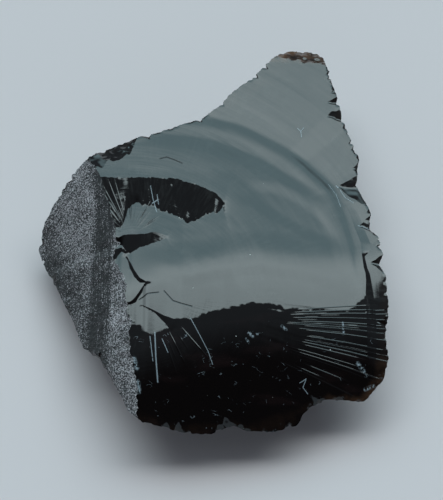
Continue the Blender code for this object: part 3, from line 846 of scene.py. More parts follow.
@dataclass
class PlanMesh:
    """A triangle mesh in plan that follows every ridge and the edge of the stone."""

    survey: Callable
    box: tuple
    cell: float = 0.215
    # First and last y of the closer rows, and their share of the usual spacing.
    fine_rows: tuple = (-18.0, -8.5, 0.6)
    fade: float = 2.0
    halvings: int = 12
    x: Array | None = None
    y: Array | None = None
    triangles: Array | None = None
    names: Array | None = None

    def lattice(self) -> None:
        """Lay the points and triangles of a triangular lattice over the plan box."""
        x0, x1, y0, y1 = self.box
        columns = int((x1 - x0) / self.cell) + 2
        first, last, share = self.fine_rows
        levels = [y0]
        row = self.cell * math.sqrt(0.75)
        while levels[-1] < y1:
            level = levels[-1]
            inside = smooth(first - self.fade, first, level) * smooth(last + self.fade, last, level)
            levels.append(level + row * (1.0 - (1.0 - share) * float(inside)))
        rows = len(levels)
        j, i = np.meshgrid(np.arange(rows), np.arange(columns), indexing="ij")
        self.x = (x0 + (i + 0.5 * (j % 2)) * self.cell).ravel()
        self.y = np.array(levels)[j].ravel()
        index = j * columns + i
        a, b = index[:-1, :-1], index[:-1, 1:]
        c, d = index[1:, :-1], index[1:, 1:]
        even = j[:-1, :-1] % 2 == 0
        parts = (
            np.stack([a, b, c], -1)[even], np.stack([b, d, c], -1)[even],
            np.stack([a, b, d], -1)[~even], np.stack([a, d, c], -1)[~even])
        self.triangles = np.concatenate(parts)

    def fit(self) -> None:
        """Move the points nearest to a ridge or to the edge onto it, and drop the outside."""
        x, y = self.x, self.y
        names = self.survey(x, y)[2]
        edges = np.unique(edges_of(self.triangles), axis=0)
        edges = edges[names[edges[:, 0]] != names[edges[:, 1]]]
        start, end = edges[:, 0], edges[:, 1]
        at_rim = (names[start] == OUTSIDE) | (names[end] == OUTSIDE)
        low, high = np.zeros(len(edges)), np.ones(len(edges))
        for _ in range(self.halvings):
            middle = (low + high) / 2.0
            here = self.survey(
                x[start] + (x[end] - x[start]) * middle, y[start] + (y[end] - y[start]) * middle)[2]
            same_side = (here == OUTSIDE) == (names[start] == OUTSIDE)
            same = np.where(at_rim, same_side, here == names[start])
            low = np.where(same, middle, low)
            high = np.where(same, high, middle)
        share = (low + high) / 2.0
        near = np.where(share < 0.5, start, end)
        order = np.argsort(-(np.minimum(share, 1.0 - share) + np.where(at_rim, 0.0, 10.0)))
        choice = np.full(len(x), -1)
        choice[near[order]] = order
        moved = choice >= 0
        pick = choice[moved]
        self.x, self.y = x.copy(), y.copy()
        self.x[moved] = (x[start] + (x[end] - x[start]) * share)[pick]
        self.y[moved] = (y[start] + (y[end] - y[start]) * share)[pick]
        corners = self.triangles
        centre = self.survey(self.x[corners].mean(1), self.y[corners].mean(1))[2]
        inside = centre != OUTSIDE
        self.triangles, self.names = corners[inside], centre[inside]

    def open_edges(self) -> tuple:
        """Find the outline.

        Returns:
            Unique edges, each triangle edge's place among them, how many triangles use each, and
            how many outline edges meet at each point.
        """
        edges, where, uses = np.unique(
            edges_of(self.triangles), axis=0, return_inverse=True, return_counts=True)
        meeting = np.bincount(edges[uses == 1].ravel(), minlength=len(self.x))
        return edges, where.ravel(), uses, meeting

    def keep(self, wanted: Array) -> None:
        """Keep only the wanted triangles."""
        self.triangles, self.names = self.triangles[wanted], self.names[wanted]

    def drop_ears(self) -> None:
        """Drop triangles that lie wholly on the outline, and points where it touches itself."""
        while True:
            _, where, uses, meeting = self.open_edges()
            free = (uses[where].reshape(3, -1).T == 1).sum(1)
            bad = ((meeting > 0)[self.triangles].sum(1) == 3) & (free >= 2)
            bad |= (meeting[self.triangles] > 2).any(1)
            if not bad.any():
                return
            self.keep(~bad)

    def split_chords(self) -> bool:
        """Give an inner edge that runs from outline to outline a point in its middle.

        Returns:
            Whether any edge was split.
        """
        edges, where, uses, meeting = self.open_edges()
        on_rim = meeting > 0
        chord = (uses == 2) & on_rim[edges[:, 0]] & on_rim[edges[:, 1]]
        sharing = {}
        for slot in np.nonzero(chord[where])[0]:
            sharing.setdefault(where[slot], []).append(slot % len(self.triangles))
        taken, added, added_names = set(), [], []
        xs, ys = list(self.x), list(self.y)
        for edge, owners in sharing.items():
            if taken.intersection(owners):
                continue
            taken.update(owners)
            a, b = edges[edge]
            middle = len(xs)
            xs.append((xs[a] + xs[b]) / 2.0)
            ys.append((ys[a] + ys[b]) / 2.0)
            for owner in owners:
                corners = self.triangles[owner]
                turn = [k for k in range(3) if {corners[k], corners[k - 2]} == {a, b}]
                p, q, r = np.roll(corners, -turn[0])
                added += [(p, middle, r), (middle, q, r)]
                added_names += [self.names[owner]] * 2
        if not taken:
            return False
        self.x, self.y = np.array(xs), np.array(ys)
        rest = np.ones(len(self.triangles), bool)
        rest[list(taken)] = False
        self.keep(rest)
        self.triangles = np.concatenate([self.triangles, np.array(added)])
        self.names = np.concatenate([self.names, np.array(added_names)])
        return True

    def keep_largest(self) -> None:
        """Keep the largest connected piece, and renumber its points."""
        group = np.arange(len(self.x))
        links = edges_of(self.triangles)
        while True:
            low = np.minimum(group[links[:, 0]], group[links[:, 1]])
            new = group.copy()
            np.minimum.at(new, links[:, 0], low)
            np.minimum.at(new, links[:, 1], low)
            new = new[new]
            if (new == group).all():
                break
            group = new
        first = group[self.triangles[:, 0]]
        self.keep(first == np.bincount(first).argmax())
        used = np.unique(self.triangles)
        renumber = np.full(len(self.x), -1)
        renumber[used] = np.arange(len(used))
        self.x, self.y, self.triangles = self.x[used], self.y[used], renumber[self.triangles]

    def build(self) -> None:
        """Make the whole plan mesh."""
        self.lattice()
        self.fit()
        self.drop_ears()
        while self.split_chords():
            self.drop_ears()
        self.keep_largest()


# ---- shader helpers -----------------------------------------------------------------------------
@dataclass(frozen=True)
class Value:
    """A number in a shader; calculating with it adds Math nodes."""

    graph: "Graph"
    socket: bpy.types.NodeSocket

    def __add__(self, other: "Value | float") -> "Value":
        """Sum."""
        return self.graph.math("ADD", self, other)

    def __radd__(self, other: float) -> "Value":
        """Sum with a plain number on the left."""
        return self.graph.math("ADD", other, self)

    def __sub__(self, other: "Value | float") -> "Value":
        """Difference."""
        return self.graph.math("SUBTRACT", self, other)

    def __rsub__(self, other: float) -> "Value":
        """Difference with a plain number on the left."""
        return self.graph.math("SUBTRACT", other, self)

    def __mul__(self, other: "Value | float") -> "Value":
        """Product."""
        return self.graph.math("MULTIPLY", self, other)

    def __rmul__(self, other: float) -> "Value":
        """Product with a plain number on the left."""
        return self.graph.math("MULTIPLY", other, self)

    def __truediv__(self, other: "Value | float") -> "Value":
        """Quotient."""
        return self.graph.math("DIVIDE", self, other)

    def __rtruediv__(self, other: float) -> "Value":
        """Quotient with a plain number on the left."""
        return self.graph.math("DIVIDE", other, self)

    def __pow__(self, power: float) -> "Value":
        """Power."""
        return self.graph.math("POWER", self, power)

    def __rpow__(self, base: float) -> "Value":
        """Power of a plain number."""
        return self.graph.math("POWER", base, self)

    def __abs__(self) -> "Value":
        """Absolute value."""
        return self.graph.math("ABSOLUTE", self)

    def floor(self) -> "Value":
        """Nearest whole number below."""
        return self.graph.math("FLOOR", self)

    def least(self, other: "Value | float") -> "Value":
        """The smaller of two."""
        return self.graph.math("MINIMUM", self, other)

    def most(self, other: "Value | float") -> "Value":
        """The larger of two."""
        return self.graph.math("MAXIMUM", self, other)

    def ramp(self, low: float, high: float) -> "Value":
        """Rise smoothly from 0 at low to 1 at high, or fall when high is the smaller one.

        Args:
            low: Where the result is 0.
            high: Where the result is 1.

        Returns:
            The eased value.
        """
        inputs = {"Value": self, "From Min": min(low, high), "From Max": max(low, high)}
        if low > high:
            inputs.update({"To Min": 1.0, "To Max": 0.0})
        made = self.graph.node("ShaderNodeMapRange", {"interpolation_type": "SMOOTHSTEP"}, inputs)
        return self.graph.value(made, "Result")


class Graph:
    """A node tree that is filled through Python expressions."""

    def __init__(self, tree: bpy.types.NodeTree) -> None:
        """Keep the tree.

        Args:
            tree: The node tree of a material or a world.
        """
        self.tree = tree

    def node(self, kind: str, settings: dict, inputs: dict) -> bpy.types.Node:
        """Add a node, set it up, and then fill its sockets.

        Args:
            kind: The node's type.
            settings: Its properties.
            inputs: Numbers, colours or sockets by socket name or place.

        Returns:
            The new node.
        """
        made = self.tree.nodes.new(kind)
        for key, value in settings.items():
            setattr(made, key, value)
        self.fill(made, inputs)
        return made

    def fill(self, node: bpy.types.Node, inputs: dict) -> None:
        """Set or link the inputs of a node.

        Args:
            node: The node.
            inputs: Numbers, colours or sockets by socket name or place.
        """
        for key, value in inputs.items():
            if isinstance(value, Value):
                value = value.socket
            if isinstance(value, bpy.types.NodeSocket):
                self.tree.links.new(value, node.inputs[key])
            else:
                node.inputs[key].default_value = value

    def value(self, node: bpy.types.Node, output: str | int = 0) -> Value:
        """One output of a node as a number."""
        return Value(self, node.outputs[output])

    def math(self, operation: str, *terms: "Value | float") -> Value:
        """A Math node's result."""
        made = self.node("ShaderNodeMath", {"operation": operation}, dict(enumerate(terms)))
        return self.value(made)

    def mix(self, factor: "Value | float", first: "tuple | bpy.types.NodeSocket",
            second: "tuple | bpy.types.NodeSocket") -> bpy.types.NodeSocket:
        """Blend two colours.

        Args:
            factor: Share of the second colour.
            first: A colour or colour socket.
            second: Another one.

        Returns:
            The blended colour's socket.
        """
        made = self.node("ShaderNodeMix", {"data_type": "RGBA"}, {0: factor, 6: first, 7: second})
        return made.outputs[2]

    def vector(self, x: "Value | float", y: "Value | float", z: "Value | float") -> bpy.types.NodeSocket:
        """Three numbers as a vector socket."""
        return self.node("ShaderNodeCombineXYZ", {}, {0: x, 1: y, 2: z}).outputs[0]

    def noise(self, where: bpy.types.NodeSocket, scale: float, detail: float = 2.0,
              rough: float = 0.5) -> Value:
        """Fractal noise from 0 to 1.

        Args:
            where: Position socket.
            scale: Features per unit.
            detail: Octaves.
            rough: Strength of each further octave.

        Returns:
            The noise.
        """
        inputs = {"Vector": where, "Scale": scale, "Detail": detail, "Roughness": rough}
        return self.value(self.node("ShaderNodeTexNoise", {}, inputs))

    def specks(self, where: bpy.types.NodeSocket, scale: float, share: float, size: float) -> Value:
        """Scattered round specks.

        Args:
            where: Position socket.
            scale: Cells per unit.
            share: Share of the cells that has a speck.
            size: Radius in cells.

        Returns:
            1 in a speck, else 0.
        """
        cells = self.node("ShaderNodeTexVoronoi", {}, {"Vector": where, "Scale": scale})
        chance = self.node("ShaderNodeSeparateColor", {}, {0: cells.outputs["Color"]})
        grown = size * self.value(chance, 1)
        hit = self.value(chance, 0).ramp(share, share - 0.01)
        return hit * (self.value(cells, "Distance") / grown).ramp(1.0, 0.6)

    def random(self, w: Value) -> tuple:
        """Draw three random values.

        Args:
            w: A whole number.

        Returns:
            Three values of 0 to 1, the same for the same number.
        """
        made = self.node("ShaderNodeTexWhiteNoise", {"noise_dimensions": "1D"}, {"W": w})
        parts = self.node("ShaderNodeSeparateColor", {}, {0: made.outputs["Color"]})
        return tuple(self.value(parts, place) for place in range(3))

    def dress(self, body: bpy.types.NodeSocket, rough: Value, index: float, relief: Value) -> None:
        """Fill the material's own shader.

        Args:
            body: Base colour.
            rough: Roughness.
            index: Refractive index.
            relief: Height of the fine relief in millimetres.
        """
        bump = self.node("ShaderNodeBump", {}, {"Strength": 1.0, "Distance": MM, "Height": relief})
        self.fill(self.tree.nodes["Principled BSDF"], {
            "Base Color": body, "Roughness": rough, "IOR": index, "Metallic": 0.0,
            "Normal": bump.outputs[0]})


def new_material(name: str) -> tuple:
    """Start a material.

    Args:
        name: Its name.

    Returns:
        The material, and its graph.
    """
    made = bpy.data.materials.new(name)
    made.use_nodes = True
    return made, Graph(made.node_tree)


def add_object(name: str, data: bpy.types.ID) -> bpy.types.Object:
    """Put a mesh or a camera in the scene.

    Args:
        name: Name of the new object.
        data: The mesh or the camera.

    Returns:
        The object.
    """
    made = bpy.data.objects.new(name, data)
    bpy.context.scene.collection.objects.link(made)
    return made


@dataclass(frozen=True)
class Plan:
    """The stone's plan coordinates in millimetres, as shader values."""

    graph: Graph
    x: Value
    y: Value
    z: Value
    point: bpy.types.NodeSocket

    @classmethod
    def of(cls, graph: Graph) -> "Plan":
        """Read them from the object's own coordinates.

        Args:
            graph: The material's graph.

        Returns:
            The plan coordinates.
        """
        place = graph.node("ShaderNodeTexCoord", {}, {}).outputs["Object"]
        parts = graph.node("ShaderNodeSeparateXYZ", {}, {0: place})
        x = graph.value(parts, 0) / MM + PLAN_ORIGIN[0]
        y = graph.value(parts, 1) / MM + PLAN_ORIGIN[1]
        z = graph.value(parts, 2) / MM
        return cls(graph, x, y, z, graph.vector(x, y, z))

    def noise(self, scale: float, detail: float, rough: float = 0.5) -> Value:
        """Fractal noise over the stone itself."""
        return self.graph.noise(self.point, scale, detail, rough)

    def polar(self, centre: tuple) -> tuple:
        """Distance from a plan point, and direction from it in radians."""
        dx, dy = self.x - centre[0], self.y - centre[1]
        return (dx * dx + dy * dy) ** 0.5, self.graph.math("ARCTAN2", dy, dx)

    def crack(self, points: tuple, width: float) -> Value:
        """A thin line through plan points.

        Args:
            points: Plan points.
            width: Half width in millimetres.

        Returns:
            1 on the line, 0 outside its half width.
        """
        nearest: Value | None = None
        for (ax, ay), (bx, by) in zip(points, points[1:]):
            ex, ey = bx - ax, by - ay
            span = ex * ex + ey * ey
            along = ((self.x - ax) * (ex / span) + (self.y - ay) * (ey / span)).most(0.0).least(1.0)
            off = (self.x - ax - along * ex, self.y - ay - along * ey)
            square = off[0] * off[0] + off[1] * off[1]
            nearest = square if nearest is None else nearest.least(square)
        return (nearest ** 0.5).ramp(width, 0.0)


# ---- finishes -----------------------------------------------------------------------------------
@dataclass(frozen=True)
class Fan:
    """Hackles: fine raised lines that run out from one point of a fracture."""

    centre: tuple
    per_radian: float
    first: float
    last: float
    starts: tuple
    ends: tuple
    half_width: float
    share: float
    seed: float
    start_fade: float = 2.5
    end_fade: float = 2.0
    side_fade: float = 0.03

    def height(self, plan: Plan) -> Value:
        """Relief of the lines.

        Args:
            plan: Plan coordinates.

        Returns:
            0 between the lines, up to 1 on their tops.
        """
        graph = plan.graph
        reach, angle = plan.polar(self.centre)
        turn = angle * self.per_radian
        cell = turn.floor()
        place, chance, amount = graph.random(cell + self.seed)
        begin, stop, _ = graph.random(cell + self.seed + 0.37)
        lateral = abs(turn - cell - 0.25 - 0.5 * place) * reach / self.per_radian
        line = lateral.ramp(self.half_width, 0.0)
        low, high = self.starts
        starting = (reach - low - (high - low) * begin).ramp(0.0, self.start_fade)
        low, high = self.ends
        ending = (reach - low - (high - low) * stop).ramp(1.0, -self.end_fade)
        fade = self.side_fade
        zone = angle.ramp(self.first - fade, self.first + fade)
        zone = zone * angle.ramp(self.last + fade, self.last - fade)
        there = chance.ramp(1.0 - self.share, 1.01 - self.share) * (0.35 + 0.65 * amount)
        return line * starting * ending * zone * there


@dataclass(frozen=True)
class GlassFinish:
    """Black volcanic glass: near-black body, smoky bands, painted brown light at thin edges, dust, fine
    relief.
    """

    name: str = "obsidian_glass"
    black: tuple = (0.0034, 0.002, 0.002, 1.0)
    smoke: tuple = (0.0082, 0.0042, 0.0042, 1.0)
    # Painted light: the glass's own brown as light coming through its thin parts shows it, put into the base
    # colour.
    brown: tuple = (0.10, 0.047, 0.026, 1.0)
    dust: tuple = (0.45, 0.45, 0.43, 1.0)
    bruise: tuple = (0.26, 0.29, 0.32, 1.0)
    film: float = 0.028
    hairs: float = 0.55
    shine: float = 0.035
    smudged: float = 0.05
    powdered: float = 0.4
    index: float = 1.5
    # Heights in millimetres of each kind of fine relief.
    orange_peel: float = 0.0012
    pitting: float = 0.0006
    tip_waves: float = 0.005
    brush: float = 0.0022
    rings: float = 0.008
    hackle: float = 0.035
    crack_depth: float = 0.02
    crack_width: float = 0.1
    # A bruise wider than this is more broken up.
    wide: float = 0.15
    fans: tuple = (
        Fan((-5.0, -11.8), 42.0, -0.25, 0.13, (12.5, 15.0), (22.0, 30.0), 0.085, 0.85, 3.0),
        Fan((-5.0, -11.8), 80.0, -0.36, 0.1, (12.0, 18.0), (16.0, 24.0), 0.06, 0.45, 91.0),
        Fan((-11.6, -0.4), 10.0, 1.5, 2.9, (1.0, 2.5), (5.0, 8.5), 0.11, 0.8, 17.0),
        Fan((-11.6, -0.4), 22.0, 0.5, 2.9, (0.8, 2.0), (3.0, 5.5), 0.09, 0.6, 57.0),
        Fan((-9.6, -7.5), 16.0, -1.9, -0.8, (5.5, 7.0), (8.0, 13.5), 0.12, 0.7, 33.0))
    cracks: tuple = (
        ((-10.3, -9.1), (-9.3, -8.4), (-7.9, -8.2)),
        ((-8.0, 10.7), (-7.1, 11.0), (-6.0, 10.6), (-5.1, 10.2)),
        ((-7.2, -8.0), (-6.1, -9.2), (-4.9, -9.5), (-3.7, -9.8)))
    # Crushed white lines and spots: points and half width.
    bruises: tuple = (
        (((-8.3, -13.45), (-8.15, -16.5), (-7.9, -19.4)), 0.13), (((-7.4, -14.2), (-6.65, -15.8)), 0.08),
        (((-8.9, -14.0), (-8.5, -17.0)), 0.08), (((-3.9, -11.3), (-1.7, -15.4), (-1.1, -17.0)), 0.07),
        (((-9.15, 6.7), (-8.85, 5.1), (-8.3, 3.2)), 0.08),
        (((-8.3, 5.6), (-8.1, 4.3)), 0.07), (((-8.9, 4.4), (-8.2, 4.9)), 0.12),
        (((14.0, 8.4), (15.0, 6.9), (15.5, 5.2)), 0.05), (((15.5, 7.7), (16.1, 6.6), (17.2, 5.8)), 0.07),
        (((15.0, 8.3), (15.3, 8.0)), 0.12), (((17.7, 2.5), (18.4, 2.4), (19.1, 2.1)), 0.1),
        (((3.4, -13.1), (3.9, -13.5)), 0.3), (((3.1, -13.8), (3.4, -14.3)), 0.2),
        (((7.6, -12.1), (8.1, -12.5)), 0.26), (((15.3, -11.2), (15.4, -12.6)), 0.22),
        (((17.2, -16.0), (17.9, -16.8)), 0.38),
        (((9.8, -18.7), (10.6, -18.2), (10.2, -19.2), (10.8, -19.9)), 0.07),
        (((10.1, 16.6), (10.5, 16.2), (10.9, 16.7)), 0.08), (((10.5, 16.2), (10.6, 15.3)), 0.08),
        (((18.1, -18.9), (19.2, -18.4)), 0.3), (((-10.9, -16.6), (-10.5, -17.8)), 0.4),
        (((-10.3, -19.4), (-10.2, -20.6)), 0.35))

    def body(self, plan: Plan, reach: Value, turn: Value) -> bpy.types.NodeSocket:
        """Colour of the clean glass: black, smoky bands in the front, painted brown light where it is thin.

        Args:
            plan: Plan coordinates.
            reach: Distance from the strike point.
            turn: Direction from it.

        Returns:
            The colour, under a film that is wiped outwards from the strike point.
        """
        graph = plan.graph
        bands = graph.noise(graph.vector(plan.x * 0.12, plan.y * 0.45, plan.z * 0.3), 1.0, 3.0)
        body = graph.mix(bands.ramp(0.55, 0.75) * plan.y.ramp(-8.0, -12.0), self.black, self.smoke)
        # Painted light: brown where the warmth layer says light comes through thin glass.
        warm = graph.value(graph.node("ShaderNodeAttribute", {"attribute_name": "warmth"}, {}), "Fac")
        body = graph.mix(warm * plan.noise(0.6, 3.0).ramp(0.25, 0.65), body, self.brown)
        wiped = graph.noise(graph.vector(48.0 * turn, 0.45 * reach, 0.0), 1.0, 3.0, 0.7).ramp(0.42, 0.72)
        wiped = wiped * plan.noise(0.22, 2.0).ramp(0.35, 0.6) * plan.y.ramp(-10.0, -8.0)
        return graph.mix(self.film * wiped * reach.ramp(4.0, 8.0), body, self.dust)

    def crushed(self, plan: Plan) -> Value:
        """White marks: the bruises, and curled hairs on the front.

        Args:
            plan: Plan coordinates.

        Returns:
            0 in clear glass, up to 1 where it is crushed.
        """
        graph = plan.graph
        curls = graph.noise(graph.vector(plan.x, plan.y * 1.6, 0.0), 0.9, 1.0)
        hairs = abs(curls - 0.5).ramp(0.012, 0.002)
        hairs = hairs * plan.noise(0.8, 2.0).ramp(0.615, 0.675) * plan.y.ramp(-10.5, -12.0)
        white = self.hairs * hairs
        broken = plan.noise(4.0, 2.0)
        for points, width in self.bruises:
            least = 0.4 if width > self.wide else 0.2
            white = white.most(plan.crack(points, width) * broken.ramp(least, least + 0.2))
        return white

    def relief(self, plan: Plan, reach: Value, turn: Value) -> Value:
        """Relief that is finer than the mesh.

        Args:
            plan: Plan coordinates.
            reach: Distance from the strike point.
            turn: Direction from it.

        Returns:
            Heights in millimetres.
        """
        graph = plan.graph
        brush = graph.noise(graph.vector(34.0 * turn, 0.22 * reach, 0.0), 1.0, 2.0, 0.6)
        rings = graph.noise(graph.vector(3.0 * reach, 2.0 * turn, 0.0), 1.0, 2.0, 0.6)
        height = self.orange_peel * plan.noise(1.6, 3.0, 0.6) + self.pitting * plan.noise(7.0, 1.0)
        height = height + self.tip_waves * plan.noise(0.9, 3.0) * plan.y.ramp(14.0, 18.0)
        height = height + self.brush * brush * reach.ramp(5.0, 9.0) * reach.ramp(27.0, 22.0)
        height = height + self.rings * rings * reach.ramp(5.0, 10.0)
        for fan in self.fans:
            height = height + self.hackle * fan.height(plan)
        for points in self.cracks:
            height = height - self.crack_depth * plan.crack(points, self.crack_width)
        return height

    def material(self) -> bpy.types.Material:
        """Build the material.

        Returns:
            The glass.
        """
        made, graph = new_material(self.name)
        plan = Plan.of(graph)
        reach, turn = plan.polar(STRIKE)
        dusty = graph.specks(plan.point, 1.1, 0.05, 0.11)
        white = self.crushed(plan)
        body = graph.mix(dusty, self.body(plan, reach, turn), self.dust)
        body = graph.mix(white, body, self.bruise)
        smudge = plan.noise(0.35, 4.0, 0.6).ramp(0.5, 0.8)
        rough = self.shine + self.smudged * smudge + self.powdered * dusty.most(white)
        graph.dress(body, rough, self.index, self.relief(plan, reach, turn))
        return made


@dataclass(frozen=True)
class RoughFinish:
    """The granular grey rind of the left face: pale specks, a streaked groove, painted glints and painted
    shade.
    """

    name: str = "obsidian_rind"
    dark: tuple = (0.020, 0.018, 0.019, 1.0)
    light: tuple = (0.53, 0.48, 0.495, 1.0)
    # Painted highlight colour: bright specks that stand in for light glinting off tiny facets.
    painted_glint: tuple = (0.50, 0.48, 0.51, 1.0)
    beige: tuple = (0.42, 0.36, 0.28, 1.0)
    index: float = 1.5
    groove_x: float = -15.2
    groove_lean: float = 0.03
    # The left end, from which the painted shade fades inwards.
    left_end: tuple = (-24.4, 2.2)
    # Direction from the left end into the face.
    inward: tuple = (0.888, 0.459)
    contrast: tuple = (0.475, 0.6)
    least_rough: float = 0.42
    grain_rough: float = 0.3
    grain_height: float = 0.15
    grit_height: float = 0.05

    def tone(self, plan: Plan, grain: Value, groove: Value) -> Value:
        """How light the rind is, with painted shade near its left end.

        Args:
            plan: Plan coordinates.
            grain: Its grain.
            groove: 1 in the groove, else 0.

        Returns:
            The tone, dark at the first value of contrast and light at the second.
        """
        graph = plan.graph
        streaks = graph.noise(graph.vector(plan.x * 5.5, plan.y * 0.3, plan.z * 0.3), 1.0, 2.0)
        # Painted shade: darker within 4 mm of the left end, where the face turns away from the light, and
        # darker still between y -7 and 1.5.
        (end_x, end_y), (across, along) = self.left_end, self.inward
        from_end = across * (plan.x - end_x) + along * (plan.y - end_y)
        hollow = plan.y.ramp(1.5, -1.0) * plan.y.ramp(-7.0, -3.0)
        tone = 0.88 * grain + 0.12 * plan.noise(0.3, 1.0)
        tone = tone - (0.045 + 0.04 * hollow) * from_end.ramp(4.0, 0.0)
        tone = tone + groove * (0.30 * streaks - 0.245)
        return tone + 0.02 * plan.y.ramp(-6.0, -12.0) + 0.025 * plan.y.ramp(-14.0, -19.0)

    def material(self) -> bpy.types.Material:
        """Build the material.

        Returns:
            The rind.
        """
        made, graph = new_material(self.name)
        plan = Plan.of(graph)
        beside = plan.x - self.groove_x - self.groove_lean * plan.y
        groove = beside.ramp(-1.7, -0.8) * beside.ramp(1.7, 0.9)
        grain = plan.noise(5.6, 2.0, 0.75)
        lit = self.tone(plan, grain, groove).ramp(*self.contrast)
        body = graph.mix(lit, self.dark, self.light)
        # Painted highlights: scattered bright specks stand in for glints off tiny facets, with fewer in the
        # groove.
        painted_glints = graph.specks(plan.point, 4.4, 0.32, 0.34) * (1.0 - 0.8 * groove)
        body = graph.mix(painted_glints, body, self.painted_glint)
        pale = graph.specks(plan.point, 1.3, 0.10, 0.22) * plan.y.ramp(-9.0, -14.0)
        body = graph.mix(pale, body, self.beige)
        relief = self.grain_height * grain + self.grit_height * plan.noise(11.0, 2.0, 0.6)
        graph.dress(body, self.least_rough + self.grain_rough * grain, self.index, relief)
        return made


# ---- the dressed stone --------------------------------------------------------------------------
@dataclass
class Stone:
    """The whole stone as one closed mesh: glass above and below, and the rind on the left."""

    glass: GlassFinish = field(default_factory=GlassFinish)
    under: GlassFinish = GlassFinish("obsidian_underside", fans=(), cracks=(), bruises=(), hairs=0.0)
    rind: RoughFinish = field(default_factory=RoughFinish)
    margin: float = 0.5
    # Where the painted brown light of thin glass shows: past the tip, and along the thin edge, most at the
    # lower right corner.
    tip: tuple = (26.2, 27.2)
    corner_y: tuple = (-13.0, -18.5)
    corner_x: tuple = (10.0, 18.0)
    corner_warmth: float = 0.4
    edge_warmth: float = 0.06
    thin: tuple = (1.6, 0.2)

    def __post_init__(self) -> None:
        """Make the sheets and the chips."""
        self.upper = UpperSheet()
        self.edge = Edge(self.upper)
        self.lower = LowerSheet(self.upper, self.edge)
        self.chips = self.edge.chips()

    def survey(self, x: Array, y: Array) -> tuple:
        """Heights of both sheets, and the pair of faces at each point.

        Args:
            x: Plan x.
            y: Plan y.

        Returns:
            Upper heights, lower heights, and labels: OUTSIDE, or FACE_STEP times the upper face's
            number plus the lower one's.
        """
        inward = self.edge.distance(x, y)
        top, top_face = self.upper.survey(x, y, self.chips, inward < CHIP_REACH)
        low, low_face = self.lower.survey(x, y, self.chips, inward)
        outside = (inward <= 0.0) | (top <= low)
        return top, low, np.where(outside, OUTSIDE, top_face * FACE_STEP + low_face)

    def solid(self) -> tuple:
        """Close the plan mesh into a solid.

        Returns:
            Points in metres, triangles, the face name of each, and the thickness at each point.
        """
        xs, ys = zip(*self.edge.rim)
        margin = self.margin
        box = (min(xs) - margin, max(xs) + margin, min(ys) - margin, max(ys) + margin)
        plan = PlanMesh(self.survey, box)
        plan.build()
        top, low, _ = self.survey(plan.x, plan.y)
        on_rim = plan.open_edges()[3] > 0
        inner = np.nonzero(~on_rim)[0]
        below = np.arange(len(plan.x))
        below[inner] = len(plan.x) + np.arange(len(inner))
        top = np.where(on_rim, (top + np.minimum(low, top)) / 2.0, top)
        flat = np.stack([plan.x, plan.y], 1)
        heights = np.concatenate([top, low[inner]])
        points = np.column_stack([np.concatenate([flat, flat[inner]]) - np.array(PLAN_ORIGIN), heights])
        thickness = np.maximum(top - low, 0.0)
        faces = np.concatenate([plan.triangles, below[plan.triangles][:, ::-1]])
        names = np.concatenate([plan.names // FACE_STEP, FACE_STEP + plan.names % FACE_STEP])
        return points * MM, faces, names, np.concatenate([thickness, thickness[inner]])

    def warmth(self, points: Array, thickness: Array) -> Array:
        """How much brown light comes through the glass.

        Args:
            points: Points in metres.
            thickness: Thickness at each point.

        Returns:
            0 where it is opaque, up to 1 at the thin edge of the tip.
        """
        x, y = points[:, :2].T / MM + np.array(PLAN_ORIGIN)[:, None]
        corner = self.corner_warmth * smooth(*self.corner_y, y) * smooth(*self.corner_x, x)
        thin = smooth(*self.thin, thickness)
        return np.maximum(smooth(*self.tip, y), thin * np.maximum(corner, self.edge_warmth))

    def mark_ridges(self, mesh: bpy.types.Mesh, faces: Array, names: Array) -> None:
        """Make the shading break where two faces of the stone meet.

        Args:
            mesh: The mesh.
            faces: Its triangles.
            names: The face name of each triangle.
        """
        edges = edges_of(faces)
        owner = np.tile(names, 3)
        key = edges[:, 0] * len(mesh.vertices) + edges[:, 1]
        order = np.argsort(key, kind="stable")
        key, owner = key[order], owner[order]
        meets = (key[1:] == key[:-1]) & (owner[1:] != owner[:-1])
        pairs = np.zeros(len(mesh.edges) * 2, np.int32)
        mesh.edges.foreach_get("vertices", pairs)
        pairs = np.sort(pairs.reshape(-1, 2), axis=1).astype(np.int64)
        sharp = np.isin(pairs[:, 0] * len(mesh.vertices) + pairs[:, 1], key[1:][meets])
        mesh.edges.foreach_set("use_edge_sharp", sharp)

    def build(self) -> bpy.types.Object:
        """Make the piece.

        Returns:
            The stone, riding on the root body in place of the CAD node.
        """
        points, faces, names, thickness = self.solid()
        mesh = bpy.data.meshes.new("obsidian_stone")
        mesh.from_pydata(points.tolist(), [], faces.tolist())
        for finish in (self.glass, self.rind, self.under):
            mesh.materials.append(finish.material())
        mesh.polygons.foreach_set("use_smooth", np.ones(len(faces), bool))
        material = np.where(names >= FACE_STEP, 2, names == 1)
        mesh.polygons.foreach_set("material_index", material.astype(np.int32))
        self.mark_ridges(mesh, faces, names)
        # Painted brown light of the thin glass, per point.
        layer = mesh.attributes.new("warmth", "FLOAT", "POINT")
        layer.data.foreach_set("value", self.warmth(points, thickness).astype(np.float32))
        mesh.update()
        stone = add_object("obsidian_stone", mesh)
        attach(stone, "root")
        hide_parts("obsidian_chunk")
        return stone


# ---- the studio ---------------------------------------------------------------------------------
@dataclass(frozen=True)
class Floor:
    """A plain pale floor."""

    colour: tuple = (0.69, 0.59, 0.594, 1.0)
    rough: float = 0.7
    half: float = 1.5

    def build(self) -> bpy.types.Object:
        """Make the floor.

        Returns:
            The floor.
        """
        mesh = bpy.data.meshes.new("studio_floor")
        s = self.half
        mesh.from_pydata([(-s, -s, 0.0), (s, -s, 0.0), (s, s, 0.0), (-s, s, 0.0)], [], [(0, 1, 2, 3)])
        made, graph = new_material("floor_paper")
        shader = made.node_tree.nodes["Principled BSDF"]
        graph.fill(shader, {"Base Color": self.colour, "Roughness": self.rough})
        mesh.materials.append(made)
        floor = add_object("studio_floor", mesh)
        return floor


